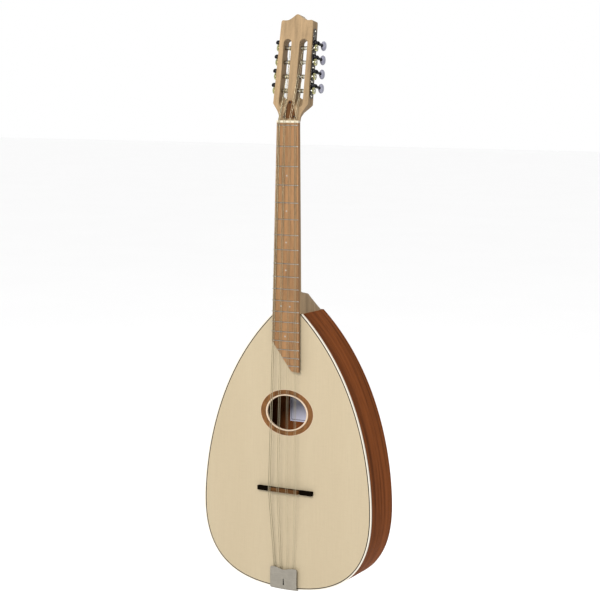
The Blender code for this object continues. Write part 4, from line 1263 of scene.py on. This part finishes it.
def make_strings():
    for side, sign in SIDES:
        for i, s in enumerate(post_places()):
            pair = i // 2
            radius = STRING_RADII[side][pair]
            depth = POST_BEHIND - POST_R - radius
            post = HEAD_PLACE @ Vector((sign * POST_XS[pair], depth, s + 0.2 * MM))
            route = string_route(sign, pair, 1 - 2 * (i % 2), radius, post)
            name = side + "_" + str(i + 1)
            look = "wound" if radius > WOUND_FROM else "bronze"
            piece("string_line_" + name, tube(softened(route), radius, 12), look,
                  replaces=("string_" + name,))


# ---- hidden CAD nodes, stage

def dress_nodes():
    """Better materials for the inner CAD nodes that stay as they are."""
    nodes = ["neck_block", "tail_block", "truss_rod", "tailpiece_hooks"]
    nodes += [side + "_brace_" + end for side in ("top", "back") for end in ("upper", "lower")]
    looks = {"truss_rod": "nickel", "tailpiece_hooks": "satin_metal"}
    for name in nodes:
        mesh = frame["nodes"][name].data
        mesh.materials.clear()
        mesh.materials.append(LOOKS[looks.get(name, "inner_wood")])


def make_stage():
    shape = bmesh.new()
    bmesh.ops.create_grid(shape, x_segments=8, y_segments=8, size=FLOOR_SIZE)
    bmesh.ops.translate(shape, verts=shape.verts, vec=(0, 0, TAIL_Z - FLOOR_DROP))
    mesh = as_mesh("floor", shape)
    mesh.materials.append(floor_stuff())
    add_object("floor", mesh)
    world = bpy.data.worlds.new("studio")
    world.use_nodes = True
    sockets = world.node_tree.nodes["Background"].inputs
    sockets["Color"].default_value = (1.0, 1.0, 1.0, 1.0)
    sockets["Strength"].default_value = 1.0
    bpy.context.scene.world = world
    bpy.context.scene.view_settings.view_transform = 'Standard'


def make_lights():
    for name, place, aim, power, size in LIGHTS:
        data = bpy.data.lights.new(name, 'AREA')
        data.energy = power
        data.shape = 'DISK'
        data.size = size
        light = add_object(name, data)
        light.location = place
        light.rotation_euler = (Vector(aim) - light.location).to_track_quat('-Z', 'Y').to_euler()


def make_camera():
    back = Vector((math.sin(CAMERA_AZ) * math.cos(CAMERA_EL),
                   -math.cos(CAMERA_AZ) * math.cos(CAMERA_EL), math.sin(CAMERA_EL)))
    flat = Vector((math.cos(CAMERA_AZ), math.sin(CAMERA_AZ), 0))
    rise = back.cross(flat)
    right = flat * math.cos(CAMERA_ROLL) + rise * math.sin(CAMERA_ROLL)
    data = bpy.data.cameras.new("camera")
    data.lens = CAMERA_LENS
    data.sensor_width = CAMERA_SENSOR
    data.clip_end = 200.0
    camera = add_object("camera", data)
    camera.matrix_world = basis(CAMERA_AIM + back * CAMERA_FAR, right, back)
    bpy.context.scene.camera = camera


LOOKS = make_materials()
make_shell()
make_trim()
make_rosette()
make_label()
make_neck()
make_fretboard()
make_dots()
make_nut()
make_head()
make_cover()
for machine_side, machine_sign in SIDES:
    make_machine_plate(machine_side, machine_sign)
    for machine_index in range(4):
        make_machine(machine_side, machine_sign, machine_index)
make_bridge()
make_tailpiece()
make_strings()
dress_nodes()
make_stage()
make_lights()
make_camera()
